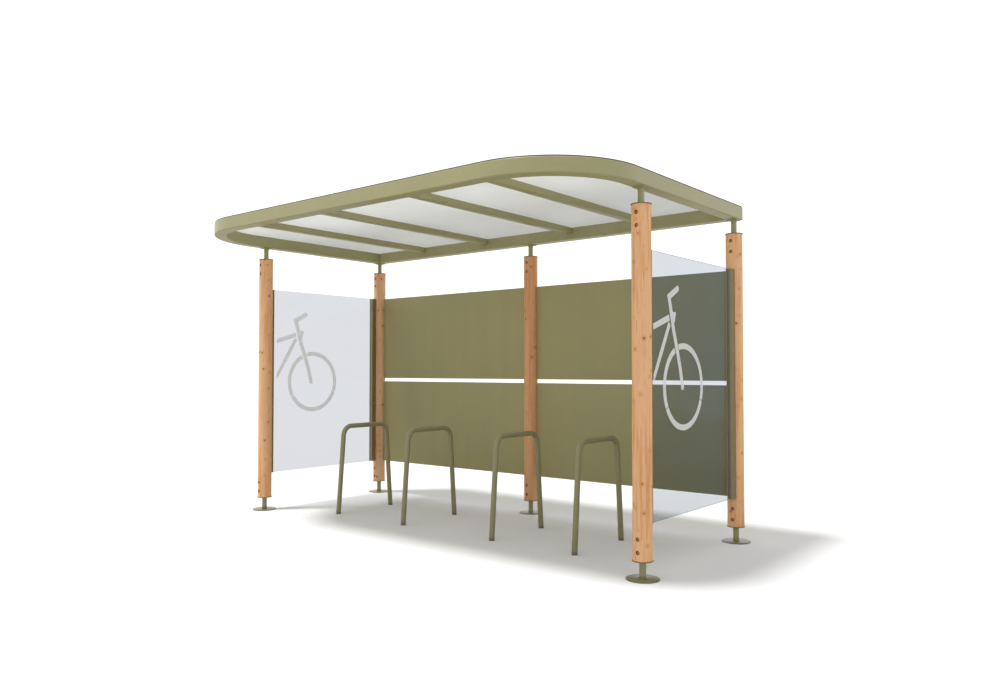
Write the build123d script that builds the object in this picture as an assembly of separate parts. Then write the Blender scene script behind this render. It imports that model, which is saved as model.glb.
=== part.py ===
"""Bike shelter: round timber posts on steel feet, a flat roof frame with rounded front corners,
a panelled back wall, a glass pane at each end and hoop racks under the roof.

Millimetres. +X runs to the right along the back wall, +Y points from the open front to the back
wall and +Z is up. The origin is on the ground, under the middle of the shelter's box.
"""
import os
from math import sqrt

from build123d import *

# ---- driving dimensions -------------------------------------------------------------------

# Plan of the posts, axis to axis
POST_PITCH_X = 4000.0
POST_PITCH_Y = 1431.0
MIDDLE_POST_X = 47.0            # the middle back post stands a little right of centre

# Timber posts
TIMBER_DIAMETER = 125.0
TIMBER_LENGTH = 2222.0
TIMBER_EDGE = 2.0               # chamfer round both ends
SOCKET_DEPTH = 210.0            # bore that takes the steel tube at each end
SOCKET_CLEARANCE = 0.3          # radial

# Two cross bolts run from front to back through the timber and the tube at each end
BOLT_END_DISTANCES = (55.0, 137.0)  # from the end of the timber
BOLT_BORE_DIAMETER = 13.0
BOLT_POCKET_DIAMETER = 26.0
BOLT_POCKET_DEPTH = 12.0

# Steel feet and heads
TUBE_DIAMETER = 42.4
TUBE_WALL = 4.0
FOOT_PLATE_DIAMETER = 210.0
FOOT_PLATE_THICKNESS = 8.0
FOOT_CLEAR_HEIGHT = 106.0       # from the foot plate to the underside of the lower cap
CAP_DIAMETER = 134.0
CAP_THICKNESS = 5.0
HEAD_CLEAR_HEIGHT = 101.0       # from the upper cap to the head plate
HEAD_PLATE_SIZE = 80.0
HEAD_PLATE_THICKNESS = 6.0

# Roof frame, a square hollow section on edge over the posts
BEAM_SIZE = 100.0
BEAM_WALL = 4.0
BEAM_ARRIS = 8.0                # outer radius of the section's own corners
FRONT_OVERHANG = 810.0          # from the front posts' axis to the outer face of the front beam
FRONT_CORNER_RADIUS = 686.0     # outer face
RAFTER_WIDTH = 62.0
RAFTER_HEIGHT = 50.0
RAFTER_WALL = 3.0
RAFTER_ARRIS = 5.0
RAFTER_X = (-1290.0, -460.0, 510.0, 1220.0)

# Roof sheet
SHEET_THICKNESS = 6.0
SHEET_INSET = 3.0               # from the outer face of the frame

# Screens: the glass ends and the back wall share one lower and one upper edge
SCREEN_BOTTOM = 336.0
SCREEN_TOP = 2066.0

# Back wall, two rows of panels between the back posts with a slot between the rows
PANEL_SETBACK = 8.0             # from the back posts' axis to the panels' front face
PANEL_THICKNESS = 12.0
SLOT_BOTTOM = 1184.0
SLOT_HEIGHT = 34.0
UPRIGHT_SIZE = 30.0             # square tube beside each post, behind the panels
UPRIGHT_WALL = 2.0
UPRIGHT_ARRIS = 3.0
UPRIGHT_RECESS = 12.0           # the uprights stop short of the wall's edges

# Glass ends
GLASS_THICKNESS = 10.0
GLASS_OFFSET = 8.0              # pane's middle, outwards from the posts' axis
CHANNEL_WIDTH = 44.0
CHANNEL_BACK_DEPTH = 50.0       # channels on the back posts
CHANNEL_FRONT_DEPTH = 20.0      # channels on the front posts
CHANNEL_WEB = 5.0
GLASS_EDGE_CLEARANCE = 3.0      # between the pane's edge and the channel's web
GLASS_SIDE_CLEARANCE = 0.3      # between the pane's face and the groove

# Hoop racks
HOOP_TUBE_DIAMETER = 42.4
HOOP_TUBE_WALL = 3.0
HOOP_HEIGHT = 810.0             # to the top of the tube
HOOP_FOOT_SPREAD = 636.0        # between leg axes at the ground
HOOP_TOP_SPREAD = 514.0         # between leg axes, carried up to the top bar's axis
HOOP_BEND_RADIUS = 90.0         # tube axis
HOOP_X = (-1270.0, -430.0, 540.0, 1300.0)
HOOP_BEHIND_FRONT_POSTS = 600.0  # from the front posts' axis to the hoops' middle

SEAT_CLEARANCE = 0.3            # between a flat piece and the round post that carries it

# ---- derived dimensions -------------------------------------------------------------------

POST_X = POST_PITCH_X / 2
TIMBER_RADIUS = TIMBER_DIAMETER / 2
FOOT_CAP_BASE = FOOT_PLATE_THICKNESS + FOOT_CLEAR_HEIGHT
TIMBER_BASE = FOOT_CAP_BASE + CAP_THICKNESS
TIMBER_TOP = TIMBER_BASE + TIMBER_LENGTH
HEAD_CAP_TOP = TIMBER_TOP + CAP_THICKNESS
BEAM_BASE = HEAD_CAP_TOP + HEAD_CLEAR_HEIGHT + HEAD_PLATE_THICKNESS
BEAM_MIDDLE = BEAM_BASE + BEAM_SIZE / 2
BEAM_TOP = BEAM_BASE + BEAM_SIZE
LOWER_BOLTS = [TIMBER_BASE + distance for distance in BOLT_END_DISTANCES]
UPPER_BOLTS = [TIMBER_TOP - distance for distance in BOLT_END_DISTANCES]

FRAME_HALF_LENGTH = POST_X + BEAM_SIZE / 2
BACK_POST_TO_REAR = max(BEAM_SIZE, FOOT_PLATE_DIAMETER) / 2

# The plan is centred between the front of the roof and the rear of the back feet
OVERALL_DEPTH = FRONT_OVERHANG + POST_PITCH_Y + BACK_POST_TO_REAR
FRAME_FRONT = -OVERALL_DEPTH / 2
FRONT_POST_Y = FRAME_FRONT + FRONT_OVERHANG
BACK_POST_Y = FRONT_POST_Y + POST_PITCH_Y
FRAME_BACK = BACK_POST_Y + BEAM_SIZE / 2
PANEL_FRONT_Y = BACK_POST_Y + PANEL_SETBACK
PANEL_BACK_Y = PANEL_FRONT_Y + PANEL_THICKNESS

POSTS = {
    "front_left": (-POST_X, FRONT_POST_Y),
    "front_right": (POST_X, FRONT_POST_Y),
    "back_left": (-POST_X, BACK_POST_Y),
    "back_middle": (MIDDLE_POST_X, BACK_POST_Y),
    "back_right": (POST_X, BACK_POST_Y),
}


# ---- small builders -----------------------------------------------------------------------

def block(x, y, z):
    """A box from its (low, high) pairs along X, Y and Z."""
    size = (x[1] - x[0], y[1] - y[0], z[1] - z[0])
    middle = ((x[0] + x[1]) / 2, (y[0] + y[1]) / 2, (z[0] + z[1]) / 2)
    return Pos(*middle) * Box(*size)


def rod(radius, base, top, x=0.0, y=0.0):
    """An upright round bar between two levels."""
    return Pos(x, y, (base + top) / 2) * Cylinder(radius, top - base)


def cross_bar(radius, front, back, z):
    """A level round bar that runs along Y at the post's axis."""
    return Pos(0, (front + back) / 2, z) * Rot(90, 0, 0) * Cylinder(radius, back - front)


def hollow_section(width, height, wall, arris):
    """The outline of a rectangular hollow section with round corners and an even wall."""
    bore = RectangleRounded(width - 2 * wall, height - 2 * wall, arris - wall)
    return RectangleRounded(width, height, arris) - bore


def beam_along_x(section, x, y, z):
    """A section run between two stations in x, centred on y and z."""
    return Pos(x[0], y, z) * extrude(Plane.YZ * section, x[1] - x[0])


def beam_along_y(section, x, y, z):
    """A section run between two stations in y, centred on x and z."""
    return Pos(x, y[1], z) * extrude(Plane.XZ * section, y[1] - y[0])


# ---- posts --------------------------------------------------------------------------------

def timber_post():
    """A turned timber post: a socket for the steel tube at each end, and bores and pockets for bolts."""
    post = chamfer(rod(TIMBER_RADIUS, TIMBER_BASE, TIMBER_TOP).edges(), TIMBER_EDGE)
    socket_radius = TUBE_DIAMETER / 2 + SOCKET_CLEARANCE
    post -= rod(socket_radius, TIMBER_BASE, TIMBER_BASE + SOCKET_DEPTH)
    post -= rod(socket_radius, TIMBER_TOP - SOCKET_DEPTH, TIMBER_TOP)
    for z in LOWER_BOLTS + UPPER_BOLTS:
        post -= cross_bar(BOLT_BORE_DIAMETER / 2, -TIMBER_DIAMETER, TIMBER_DIAMETER, z)
        pocket_floor = TIMBER_RADIUS - BOLT_POCKET_DEPTH
        post -= cross_bar(BOLT_POCKET_DIAMETER / 2, pocket_floor, TIMBER_DIAMETER, z)
        post -= cross_bar(BOLT_POCKET_DIAMETER / 2, -TIMBER_DIAMETER, -pocket_floor, z)
    return post


def steel_tube(base, top, bolts):
    """A round tube between two levels, bored across for its bolts."""
    outer_radius = TUBE_DIAMETER / 2
    tube = rod(outer_radius, base, top) - rod(outer_radius - TUBE_WALL, base, top)
    for z in bolts:
        tube -= cross_bar(BOLT_BORE_DIAMETER / 2, -TUBE_DIAMETER, TUBE_DIAMETER, z)
    return tube


def foot():
    """Ground plate, tube and lower cap welded together; the tube runs on up into the timber."""
    tube_end = TIMBER_BASE + SOCKET_DEPTH - SOCKET_CLEARANCE
    plate = rod(FOOT_PLATE_DIAMETER / 2, 0, FOOT_PLATE_THICKNESS)
    cap = rod(CAP_DIAMETER / 2, FOOT_CAP_BASE, TIMBER_BASE) - rod(TUBE_DIAMETER / 2, FOOT_CAP_BASE, TIMBER_BASE)
    return plate + steel_tube(FOOT_PLATE_THICKNESS, tube_end, LOWER_BOLTS) + cap


def head():
    """Upper cap, tube and the square plate that the roof frame sits on, welded together."""
    tube_end = TIMBER_TOP - SOCKET_DEPTH + SOCKET_CLEARANCE
    plate_base = BEAM_BASE - HEAD_PLATE_THICKNESS
    cap = rod(CAP_DIAMETER / 2, TIMBER_TOP, HEAD_CAP_TOP) - rod(TUBE_DIAMETER / 2, TIMBER_TOP, HEAD_CAP_TOP)
    half = HEAD_PLATE_SIZE / 2
    plate = block((-half, half), (-half, half), (plate_base, BEAM_BASE))
    return plate + steel_tube(tube_end, plate_base, UPPER_BOLTS) + cap


# ---- roof ---------------------------------------------------------------------------------

def plan_rectangle(x, y):
    """A flat face on the ground plane from its (low, high) pairs."""
    return Pos((x[0] + x[1]) / 2, (y[0] + y[1]) / 2) * Rectangle(x[1] - x[0], y[1] - y[0])


STRAIGHT_HALF = FRAME_HALF_LENGTH - FRONT_CORNER_RADIUS    # where the front beam meets its corners
CORNER_CENTRE_Y = FRAME_FRONT + FRONT_CORNER_RADIUS


BEAM_SECTION = hollow_section(BEAM_SIZE, BEAM_SIZE, BEAM_WALL, BEAM_ARRIS)


def front_beam():
    y = FRAME_FRONT + BEAM_SIZE / 2
    return beam_along_x(BEAM_SECTION, (-STRAIGHT_HALF, STRAIGHT_HALF), y, BEAM_MIDDLE)


def mitre(beam, *plan):
    """Keep what stands over the plan's corner points."""
    outline = make_face(Polyline(*plan, close=True))
    return beam & extrude(Pos(0, 0, BEAM_BASE) * outline, BEAM_SIZE)


def back_beam():
    """The back beam, mitred to a side beam at each end."""
    outer = FRAME_HALF_LENGTH
    inner = outer - BEAM_SIZE
    beam = beam_along_x(BEAM_SECTION, (-outer, outer), FRAME_BACK - BEAM_SIZE / 2, BEAM_MIDDLE)
    inner_y = FRAME_BACK - BEAM_SIZE
    return mitre(beam, (-outer, FRAME_BACK), (outer, FRAME_BACK), (inner, inner_y), (-inner, inner_y))


def side_beam(side):
    """side is -1 for the left beam and +1 for the right one."""
    outer = side * FRAME_HALF_LENGTH
    inner = side * (FRAME_HALF_LENGTH - BEAM_SIZE)
    beam = beam_along_y(BEAM_SECTION, (outer + inner) / 2, (CORNER_CENTRE_Y, FRAME_BACK), BEAM_MIDDLE)
    corners = [
        (outer, CORNER_CENTRE_Y),
        (outer, FRAME_BACK),
        (inner, FRAME_BACK - BEAM_SIZE),
        (inner, CORNER_CENTRE_Y),
    ]
    return mitre(beam, *corners)


def corner_beam(side):
    """A quarter ring of the same hollow section that joins the front beam to a side beam."""
    middle_radius = FRONT_CORNER_RADIUS - BEAM_SIZE / 2
    upright = Plane.XZ * Pos(middle_radius, BEAM_MIDDLE) * BEAM_SECTION
    quarter = revolve(upright, Axis.Z, -90)
    if side < 0:
        quarter = mirror(quarter, Plane.YZ)
    return Pos(side * STRAIGHT_HALF, CORNER_CENTRE_Y) * quarter


def rafter(x):
    """A rafter between the front and back beams, its top level with theirs."""
    section = hollow_section(RAFTER_WIDTH, RAFTER_HEIGHT, RAFTER_WALL, RAFTER_ARRIS)
    y = (FRAME_FRONT + BEAM_SIZE, FRAME_BACK - BEAM_SIZE)
    return beam_along_y(section, x, y, BEAM_TOP - RAFTER_HEIGHT / 2)


def roof_sheet():
    """One opal sheet on top of the frame, its front corners rounded with the frame's."""
    half = FRAME_HALF_LENGTH - SHEET_INSET
    plan = plan_rectangle((-half, half), (FRAME_FRONT + SHEET_INSET, FRAME_BACK - SHEET_INSET))
    front_corners = plan.vertices().group_by(Axis.Y)[0]
    plan = fillet(front_corners, FRONT_CORNER_RADIUS - SHEET_INSET)
    return extrude(Pos(0, 0, BEAM_TOP) * plan, SHEET_THICKNESS)


# ---- back wall ----------------------------------------------------------------------------

WALL_ROWS = {
    "lower": (SCREEN_BOTTOM, SLOT_BOTTOM),
    "upper": (SLOT_BOTTOM + SLOT_HEIGHT, SCREEN_TOP),
}
WALL_BAYS = {
    "left": ("back_left", "back_middle"),
    "right": ("back_middle", "back_right"),
}


def post_flank(setback):
    """Sideways distance from a post's axis to its surface, at a distance behind that axis."""
    return sqrt(TIMBER_RADIUS**2 - setback**2) + SEAT_CLEARANCE


def wall_panel(row, bay):
    """A panel that reaches from post to post."""
    first, last = WALL_BAYS[bay]
    reach = post_flank(PANEL_SETBACK)
    x = (POSTS[first][0] + reach, POSTS[last][0] - reach)
    return block(x, (PANEL_FRONT_Y, PANEL_BACK_Y), WALL_ROWS[row])


def wall_upright(post, side):
    """A square tube beside a back post that carries the panels' ends; side is -1 or +1."""
    flank = post_flank(PANEL_SETBACK + PANEL_THICKNESS)
    section = hollow_section(UPRIGHT_SIZE, UPRIGHT_SIZE, UPRIGHT_WALL, UPRIGHT_ARRIS)
    x = POSTS[post][0] + side * (flank + UPRIGHT_SIZE / 2)
    y = PANEL_BACK_Y + UPRIGHT_SIZE / 2
    length = SCREEN_TOP - SCREEN_BOTTOM - 2 * UPRIGHT_RECESS
    return Pos(x, y, SCREEN_BOTTOM + UPRIGHT_RECESS) * extrude(section, length)


# ---- glass ends ---------------------------------------------------------------------------

CHANNEL_BACK_FACE = {
    "front": FRONT_POST_Y + TIMBER_RADIUS + SEAT_CLEARANCE,
    "back": BACK_POST_Y - TIMBER_RADIUS - SEAT_CLEARANCE,
}
CHANNEL_DEPTH = {"front": CHANNEL_FRONT_DEPTH, "back": CHANNEL_BACK_DEPTH}
INTO_BAY = {"front": 1, "back": -1}


def glass_pane(side):
    """A pane held between the channels of one end; side is -1 or +1."""
    edge = CHANNEL_WEB + GLASS_EDGE_CLEARANCE
    half = GLASS_THICKNESS / 2
    x = side * (POST_X + GLASS_OFFSET)
    y = (CHANNEL_BACK_FACE["front"] + edge, CHANNEL_BACK_FACE["back"] - edge)
    return block((x - half, x + half), y, (SCREEN_BOTTOM, SCREEN_TOP))


def glass_channel(side, row):
    """A grooved upright on a post that takes the edge of the pane."""
    x = side * (POST_X + GLASS_OFFSET)
    back = CHANNEL_BACK_FACE[row]
    mouth = back + INTO_BAY[row] * CHANNEL_DEPTH[row]
    web = back + INTO_BAY[row] * CHANNEL_WEB
    half = CHANNEL_WIDTH / 2
    groove = GLASS_THICKNESS / 2 + GLASS_SIDE_CLEARANCE
    levels = (SCREEN_BOTTOM, SCREEN_TOP)
    body = block((x - half, x + half), sorted((back, mouth)), levels)
    return body - block((x - groove, x + groove), sorted((web, mouth)), levels)


# ---- hoop racks ---------------------------------------------------------------------------

HOOP_Y = FRONT_POST_Y + HOOP_BEHIND_FRONT_POSTS
HOOP_AXIS_TOP = HOOP_HEIGHT - HOOP_TUBE_DIAMETER / 2


def hoop_rack(x):
    """A bent tube hoop whose legs spread towards the ground, cut off level there."""
    lean = (HOOP_FOOT_SPREAD - HOOP_TOP_SPREAD) / 2 / HOOP_AXIS_TOP
    sunk = HOOP_TUBE_DIAMETER                                   # run below ground before the cut
    foot_half = HOOP_FOOT_SPREAD / 2 + lean * sunk
    top_half = HOOP_TOP_SPREAD / 2
    corners = [
        (x, HOOP_Y - foot_half, -sunk),
        (x, HOOP_Y - top_half, HOOP_AXIS_TOP),
        (x, HOOP_Y + top_half, HOOP_AXIS_TOP),
        (x, HOOP_Y + foot_half, -sunk),
    ]
    path = FilletPolyline(*corners, radius=HOOP_BEND_RADIUS)
    ring = Circle(HOOP_TUBE_DIAMETER / 2) - Circle(HOOP_TUBE_DIAMETER / 2 - HOOP_TUBE_WALL)
    hoop = sweep((path ^ 0) * ring, path=path)
    below = block((x - sunk, x + sunk), (HOOP_Y - 2 * foot_half, HOOP_Y + 2 * foot_half), (-3 * sunk, 0))
    return hoop - below


# ---- assembly -----------------------------------------------------------------------------

def shelter():
    """Every piece of the shelter by its node name."""
    pieces = {}
    for name, (x, y) in POSTS.items():
        place = Pos(x, y, 0)
        pieces[f"foot_{name}"] = place * foot()
        pieces[f"timber_post_{name}"] = place * timber_post()
        pieces[f"head_{name}"] = place * head()
    pieces["front_beam"] = front_beam()
    pieces["back_beam"] = back_beam()
    for side, word in ((-1, "left"), (1, "right")):
        pieces[f"{word}_side_beam"] = side_beam(side)
        pieces[f"{word}_corner_beam"] = corner_beam(side)
        pieces[f"{word}_glass_pane"] = glass_pane(side)
        for row in ("front", "back"):
            pieces[f"{word}_{row}_glass_channel"] = glass_channel(side, row)
    for count, x in enumerate(RAFTER_X, start=1):
        pieces[f"rafter_{count}"] = rafter(x)
    pieces["roof_sheet"] = roof_sheet()
    for bay, (first, last) in WALL_BAYS.items():
        for row in WALL_ROWS:
            pieces[f"{row}_{bay}_wall_panel"] = wall_panel(row, bay)
        pieces[f"{bay}_wall_left_upright"] = wall_upright(first, 1)
        pieces[f"{bay}_wall_right_upright"] = wall_upright(last, -1)
    for count, x in enumerate(HOOP_X, start=1):
        pieces[f"hoop_rack_{count}"] = hoop_rack(x)
    return pieces


os.makedirs("parts", exist_ok=True)
for node, piece in shelter().items():
    export_step(piece, f"parts/{node}.step")
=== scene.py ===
import logging
from collections.abc import Sequence
from dataclasses import dataclass, field
from enum import Enum
from math import cos, pi, radians, sin, tau

import bpy
import numpy as np
from mathutils import Euler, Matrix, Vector


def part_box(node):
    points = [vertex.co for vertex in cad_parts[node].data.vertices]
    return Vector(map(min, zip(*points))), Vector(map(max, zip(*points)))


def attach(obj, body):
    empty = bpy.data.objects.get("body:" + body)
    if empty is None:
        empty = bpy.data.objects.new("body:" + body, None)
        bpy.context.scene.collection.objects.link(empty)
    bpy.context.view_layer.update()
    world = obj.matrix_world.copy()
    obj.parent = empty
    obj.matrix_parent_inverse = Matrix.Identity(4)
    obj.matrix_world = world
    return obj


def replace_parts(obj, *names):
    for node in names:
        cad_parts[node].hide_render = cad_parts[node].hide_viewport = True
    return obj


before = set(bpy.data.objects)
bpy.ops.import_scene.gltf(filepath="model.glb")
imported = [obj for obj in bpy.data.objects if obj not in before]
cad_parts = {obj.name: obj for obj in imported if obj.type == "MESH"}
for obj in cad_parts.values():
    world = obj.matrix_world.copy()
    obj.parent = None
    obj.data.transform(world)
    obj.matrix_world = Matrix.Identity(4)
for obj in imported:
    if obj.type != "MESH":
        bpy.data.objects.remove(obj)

# Bike shelter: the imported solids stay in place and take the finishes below, and the pieces that
# carry fine detail are made here. Metres, +X along the back wall, +Y to the back, +Z up.

Array = np.ndarray
Colour = tuple[float, float, float, float]
Line = tuple[tuple[float, float], ...]
Tree = bpy.types.ShaderNodeTree
Node = bpy.types.ShaderNode
Socket = bpy.types.NodeSocket
Material = bpy.types.Material

MM = 0.001
SHARPEST = 0.02 * MM    # a corner that is drawn in keeps at least this radius
BODY = "root"
log = logging.getLogger("bike_shelter")


class Slot(Enum):
    """The record's material slots."""

    STEEL = "olive_steel"
    CHANNEL = "olive_aluminium"
    TIMBER = "timber"
    LAMINATE = "wall_laminate"
    SHEET = "opal_sheet"
    GLASS = "clear_glass"


class Side(Enum):
    """The two ends of the shelter, as the nodes spell them."""

    LEFT = "left"
    RIGHT = "right"


POSTS = ("front_left", "front_right", "back_left", "back_middle", "back_right")


# ---- surfaces ---------------------------------------------------------------------------------

def angles(count: int) -> Array:
    """Evenly spaced angles round a full turn, the last one short of the first."""
    return np.arange(count) * (tau / count)


def circle(radius: float, count: int) -> Array:
    """Points round a circle: radius times (cos t, sin t)."""
    t = angles(count)
    return radius * np.stack([np.cos(t), np.sin(t)], -1)


def rounded_rectangle(width: float, height: float, corner: float, per_corner: int = 6) -> Array:
    """Outline of a rectangle whose corners are quarter circles.

    Each corner's points are its centre, (width / 2 - corner, height / 2 - corner) with signs,
    plus corner times (cos t, sin t) over that corner's quarter turn.

    Args:
        width: full size along the first axis.
        height: full size along the second axis.
        corner: radius of the corners.
        per_corner: points on each quarter circle.

    Returns:
        Points, anticlockwise, shape (4 * per_corner, 2).
    """
    quarter = np.linspace(0.0, pi / 2, per_corner)
    t = (np.arange(4)[:, None] * pi / 2 + quarter[None, :]).ravel()
    signs = np.repeat(np.array([(1, 1), (-1, 1), (-1, -1), (1, -1)]), per_corner, axis=0)
    centres = signs * np.array([width / 2 - corner, height / 2 - corner])
    return centres + corner * np.stack([np.cos(t), np.sin(t)], -1)


def hexagon(across_flats: float, limit: float, count: int = 36) -> Array:
    """Outline of a hexagon cut off by a circle, as a turned hexagon head has it.

    The radius at angle t is the lesser of the circle's and the flat's, which is half the size
    across flats over the cosine of the angle from the flat's middle.

    Args:
        across_flats: distance between opposite flats.
        limit: radius of the circle.
        count: points round the outline, a multiple of six.

    Returns:
        Points, anticlockwise, shape (count, 2).
    """
    t = angles(count)
    from_flat = np.mod(t, tau / 6) - tau / 12
    radius = np.minimum(across_flats / 2 / np.cos(from_flat), limit)
    return radius[:, None] * np.stack([np.cos(t), np.sin(t)], -1)


def stacked(outlines: Sequence[Array], levels: Sequence[float]) -> Array:
    """Rings for a loft: each flat outline raised to its level along Z."""
    pairs = zip(outlines, levels)
    return np.stack([np.column_stack([flat, np.full(len(flat), level)]) for flat, level in pairs])


def lathe(profile: Sequence[tuple[float, float]], count: int) -> Array:
    """Rings of a turned form: every (radius, level) of the profile becomes a circle."""
    rings = [circle(radius, count) for radius, _ in profile]
    return stacked(rings, [level for _, level in profile])


def slab(
    width: float, height: float, depth: float, corner: float, arris: float, per_arris: int = 4,
) -> Array:
    """Rings of a rounded slab with quarter-round arrises, centred on the origin, depth along Z.

    At angle a of the arris the outline is drawn in by arris * (1 - cos a) and its level is
    depth / 2 - arris * (1 - sin a), at the top and mirrored at the bottom.

    Args:
        width: size along X.
        height: size along Y.
        depth: size along Z.
        corner: radius of the outline's corners, no less than the arris.
        arris: radius of the edges round both faces.
        per_arris: rings round each arris.

    Returns:
        Rings, shape (2 * per_arris, points, 3).
    """
    turn = np.linspace(0.0, pi / 2, per_arris)
    inset = np.concatenate([arris * (1 - np.cos(turn[::-1])), arris * (1 - np.cos(turn))])
    rise = depth / 2 - arris * (1 - np.sin(turn))
    levels = np.concatenate([-rise[::-1], rise])
    outlines = [
        rounded_rectangle(width - 2 * cut, height - 2 * cut, max(corner - cut, SHARPEST))
        for cut in inset
    ]
    return stacked(outlines, levels)


def torus(
    ring_radius: float, bead: float, level: float, ripple: float, ripples: int = 24,
    count: int = 72, per_ring: int = 10,
) -> Array:
    """Rings of a weld bead that runs round a tube.

    The bead's own radius is bead + ripple * cos(ripples * t) at angle t round the tube.

    Args:
        ring_radius: from the tube's axis to the bead's middle.
        bead: radius of the bead.
        level: height of the bead's middle.
        ripple: height of its ripples.
        ripples: how many of them there are.
        count: rings round the tube.
        per_ring: points on each ring.

    Returns:
        Rings, shape (count, per_ring, 3), meant to be joined last to first.
    """
    t = angles(count)[:, None]
    s = angles(per_ring)[None, :]
    radius = bead + ripple * np.cos(ripples * t)
    reach = ring_radius + radius * np.cos(s)
    return np.stack([reach * np.cos(t), reach * np.sin(t), level + radius * np.sin(s)], -1)


def pan_head(radius: float, levels: Sequence[float]) -> Array:
    """Rings of a screw's low round head with its recess.

    Args:
        radius: the head's radius.
        levels: heights of its edge, its shoulder, its crown and the floor of its recess.

    Returns:
        Rings, shape (5, 20, 3).
    """
    shares = (1.0, 0.85, 0.5, 0.42)
    profile = [(radius * share, level) for share, level in zip(shares, levels)]
    return lathe([(radius, 0.0), *profile], count=20)


def tube_along(path: Array, radius: float, count: int) -> Array:
    """Rings of a round tube whose path lies in a plane of constant x.

    Each ring is path point + radius * (cos s * across + sin s * normal), where across is +X and
    normal is the path's direction turned a quarter turn in the plane.

    Args:
        path: points on the axis, shape (n, 3).
        radius: outer radius.
        count: points round the tube.

    Returns:
        Rings, shape (n, count, 3).
    """
    along = np.gradient(path, axis=0)
    along /= np.linalg.norm(along, axis=1)[:, None]
    across = np.broadcast_to(np.array([1.0, 0.0, 0.0]), along.shape)
    normal = np.cross(along, across)
    s = angles(count)[None, :, None]
    ring = np.cos(s) * across[:, None, :] + np.sin(s) * normal[:, None, :]
    return path[:, None, :] + radius * ring


def placed(rings: Array, origin: Sequence[float], axis: str = "Z") -> Array:
    """Rings moved to a place, with their own Z axis laid along one of the shelter's axes.

    Args:
        rings: shape (n, m, 3).
        origin: where the rings' own origin goes.
        axis: "Z", "+X", "-X", "+Y" or "-Y", the direction that local Z points in.

    Returns:
        The moved rings; each choice is a pure rotation, so faces keep pointing outwards.
    """
    x, y, z = rings[..., 0], rings[..., 1], rings[..., 2]
    turned = {
        "Z": (x, y, z),
        "+X": (z, x, y),
        "-X": (-z, -x, y),
        "+Y": (-x, z, y),
        "-Y": (x, -z, y),
    }[axis]
    return np.stack(turned, -1) + np.asarray(origin, float)


def smooth_path(corners: Array, radius: float, per_bend: int = 12) -> Array:
    """A path of straight runs joined by arcs, all in a plane of constant x.

    A bend leaves each run at radius * tan(turn / 2) from the corner and follows the circle whose
    centre lies on the corner's bisector at radius / cos(turn / 2).

    Args:
        corners: the path's end points and corners, shape (n, 3).
        radius: bend radius of the axis.
        per_bend: points on each arc.

    Returns:
        Points along the path, shape (m, 3).
    """
    parts = [corners[:1]]
    for before, corner, after in zip(corners[:-2], corners[1:-1], corners[2:]):
        back = (before - corner) / np.linalg.norm(before - corner)
        on = (after - corner) / np.linalg.norm(after - corner)
        turn = pi - np.arccos(np.clip(back @ on, -1, 1))
        bisector = (back + on) / np.linalg.norm(back + on)
        centre = corner + bisector * radius / np.cos(turn / 2)
        t = np.linspace(-turn / 2, turn / 2, per_bend)[:, None]
        sideways = (on - back) / np.linalg.norm(on - back)
        parts.append(centre - radius * (np.cos(t) * bisector - np.sin(t) * sideways))
    parts.append(corners[-1:])
    return np.concatenate(parts)


@dataclass
class Surface:
    """Points and faces gathered from one or more lofts, which become one mesh."""

    points: list[Array] = field(default_factory=list)
    faces: list[list[int]] = field(default_factory=list)
    count: int = 0

    def loft(self, rings: Array, capped: bool = True, looped: bool = False) -> "Surface":
        """Adds the skin over a stack of rings.

        Ring i, point j joins to its neighbours j + 1 and i + 1 as one quad, and j runs on round
        to 0.

        Args:
            rings: shape (n, m, 3), each ring anticlockwise seen against the stacking direction.
            capped: whether a face closes the first and the last ring.
            looped: whether the last ring joins the first, as on a torus.

        Returns:
            This surface.
        """
        n, m = rings.shape[:2]
        rows = np.arange(n if looped else n - 1)
        i, j = np.meshgrid(rows, np.arange(m), indexing="ij")
        i_next, j_next = (i + 1) % n, (j + 1) % m
        quads = np.stack([i * m + j, i * m + j_next, i_next * m + j_next, i_next * m + j], -1)
        self.faces += (quads.reshape(-1, 4) + self.count).tolist()
        if capped and not looped:
            self.faces.append((np.arange(m)[::-1] + self.count).tolist())
            self.faces.append((np.arange(m) + (n - 1) * m + self.count).tolist())
        self.points.append(rings.reshape(-1, 3))
        self.count += n * m
        return self

    def strip(self, left: Array, right: Array, looped: bool = False) -> "Surface":
        """Adds a flat band between two lines of as many points each.

        Args:
            left: one edge, shape (n, 3).
            right: the other edge, on the right of the first as its face is seen.
            looped: whether the last points join the first.

        Returns:
            This surface.
        """
        n = len(left)
        i = np.arange(n if looped else n - 1)
        k = (i + 1) % n
        self.faces += (np.stack([i, i + n, k + n, k], -1) + self.count).tolist()
        self.points += [left, right]
        self.count += 2 * n
        return self

    def piece(
        self, name: str, finish: Material, slot: Slot, sharp: float = 32.0,
    ) -> bpy.types.Object:
        """Makes the mesh object, dresses it and lets it ride on the body.

        Args:
            name: the piece's name.
            finish: its material.
            slot: the record slot that the finish belongs to; not used.
            sharp: edges that turn by more than this many degrees stay crisp.

        Returns:
            The new object, at the origin.
        """
        mesh = bpy.data.meshes.new(name)
        mesh.from_pydata(np.concatenate(self.points).tolist(), [], self.faces)
        mesh.polygons.foreach_set("use_smooth", np.ones(len(mesh.polygons), bool))
        mesh.set_sharp_from_angle(angle=radians(sharp))
        mesh.materials.append(finish)
        thing = bpy.data.objects.new(name, mesh)
        bpy.context.scene.collection.objects.link(thing)
        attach(thing, BODY)
        log.info("%s: %d faces", name, len(mesh.polygons))
        return thing


# ---- finishes ---------------------------------------------------------------------------------

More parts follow.
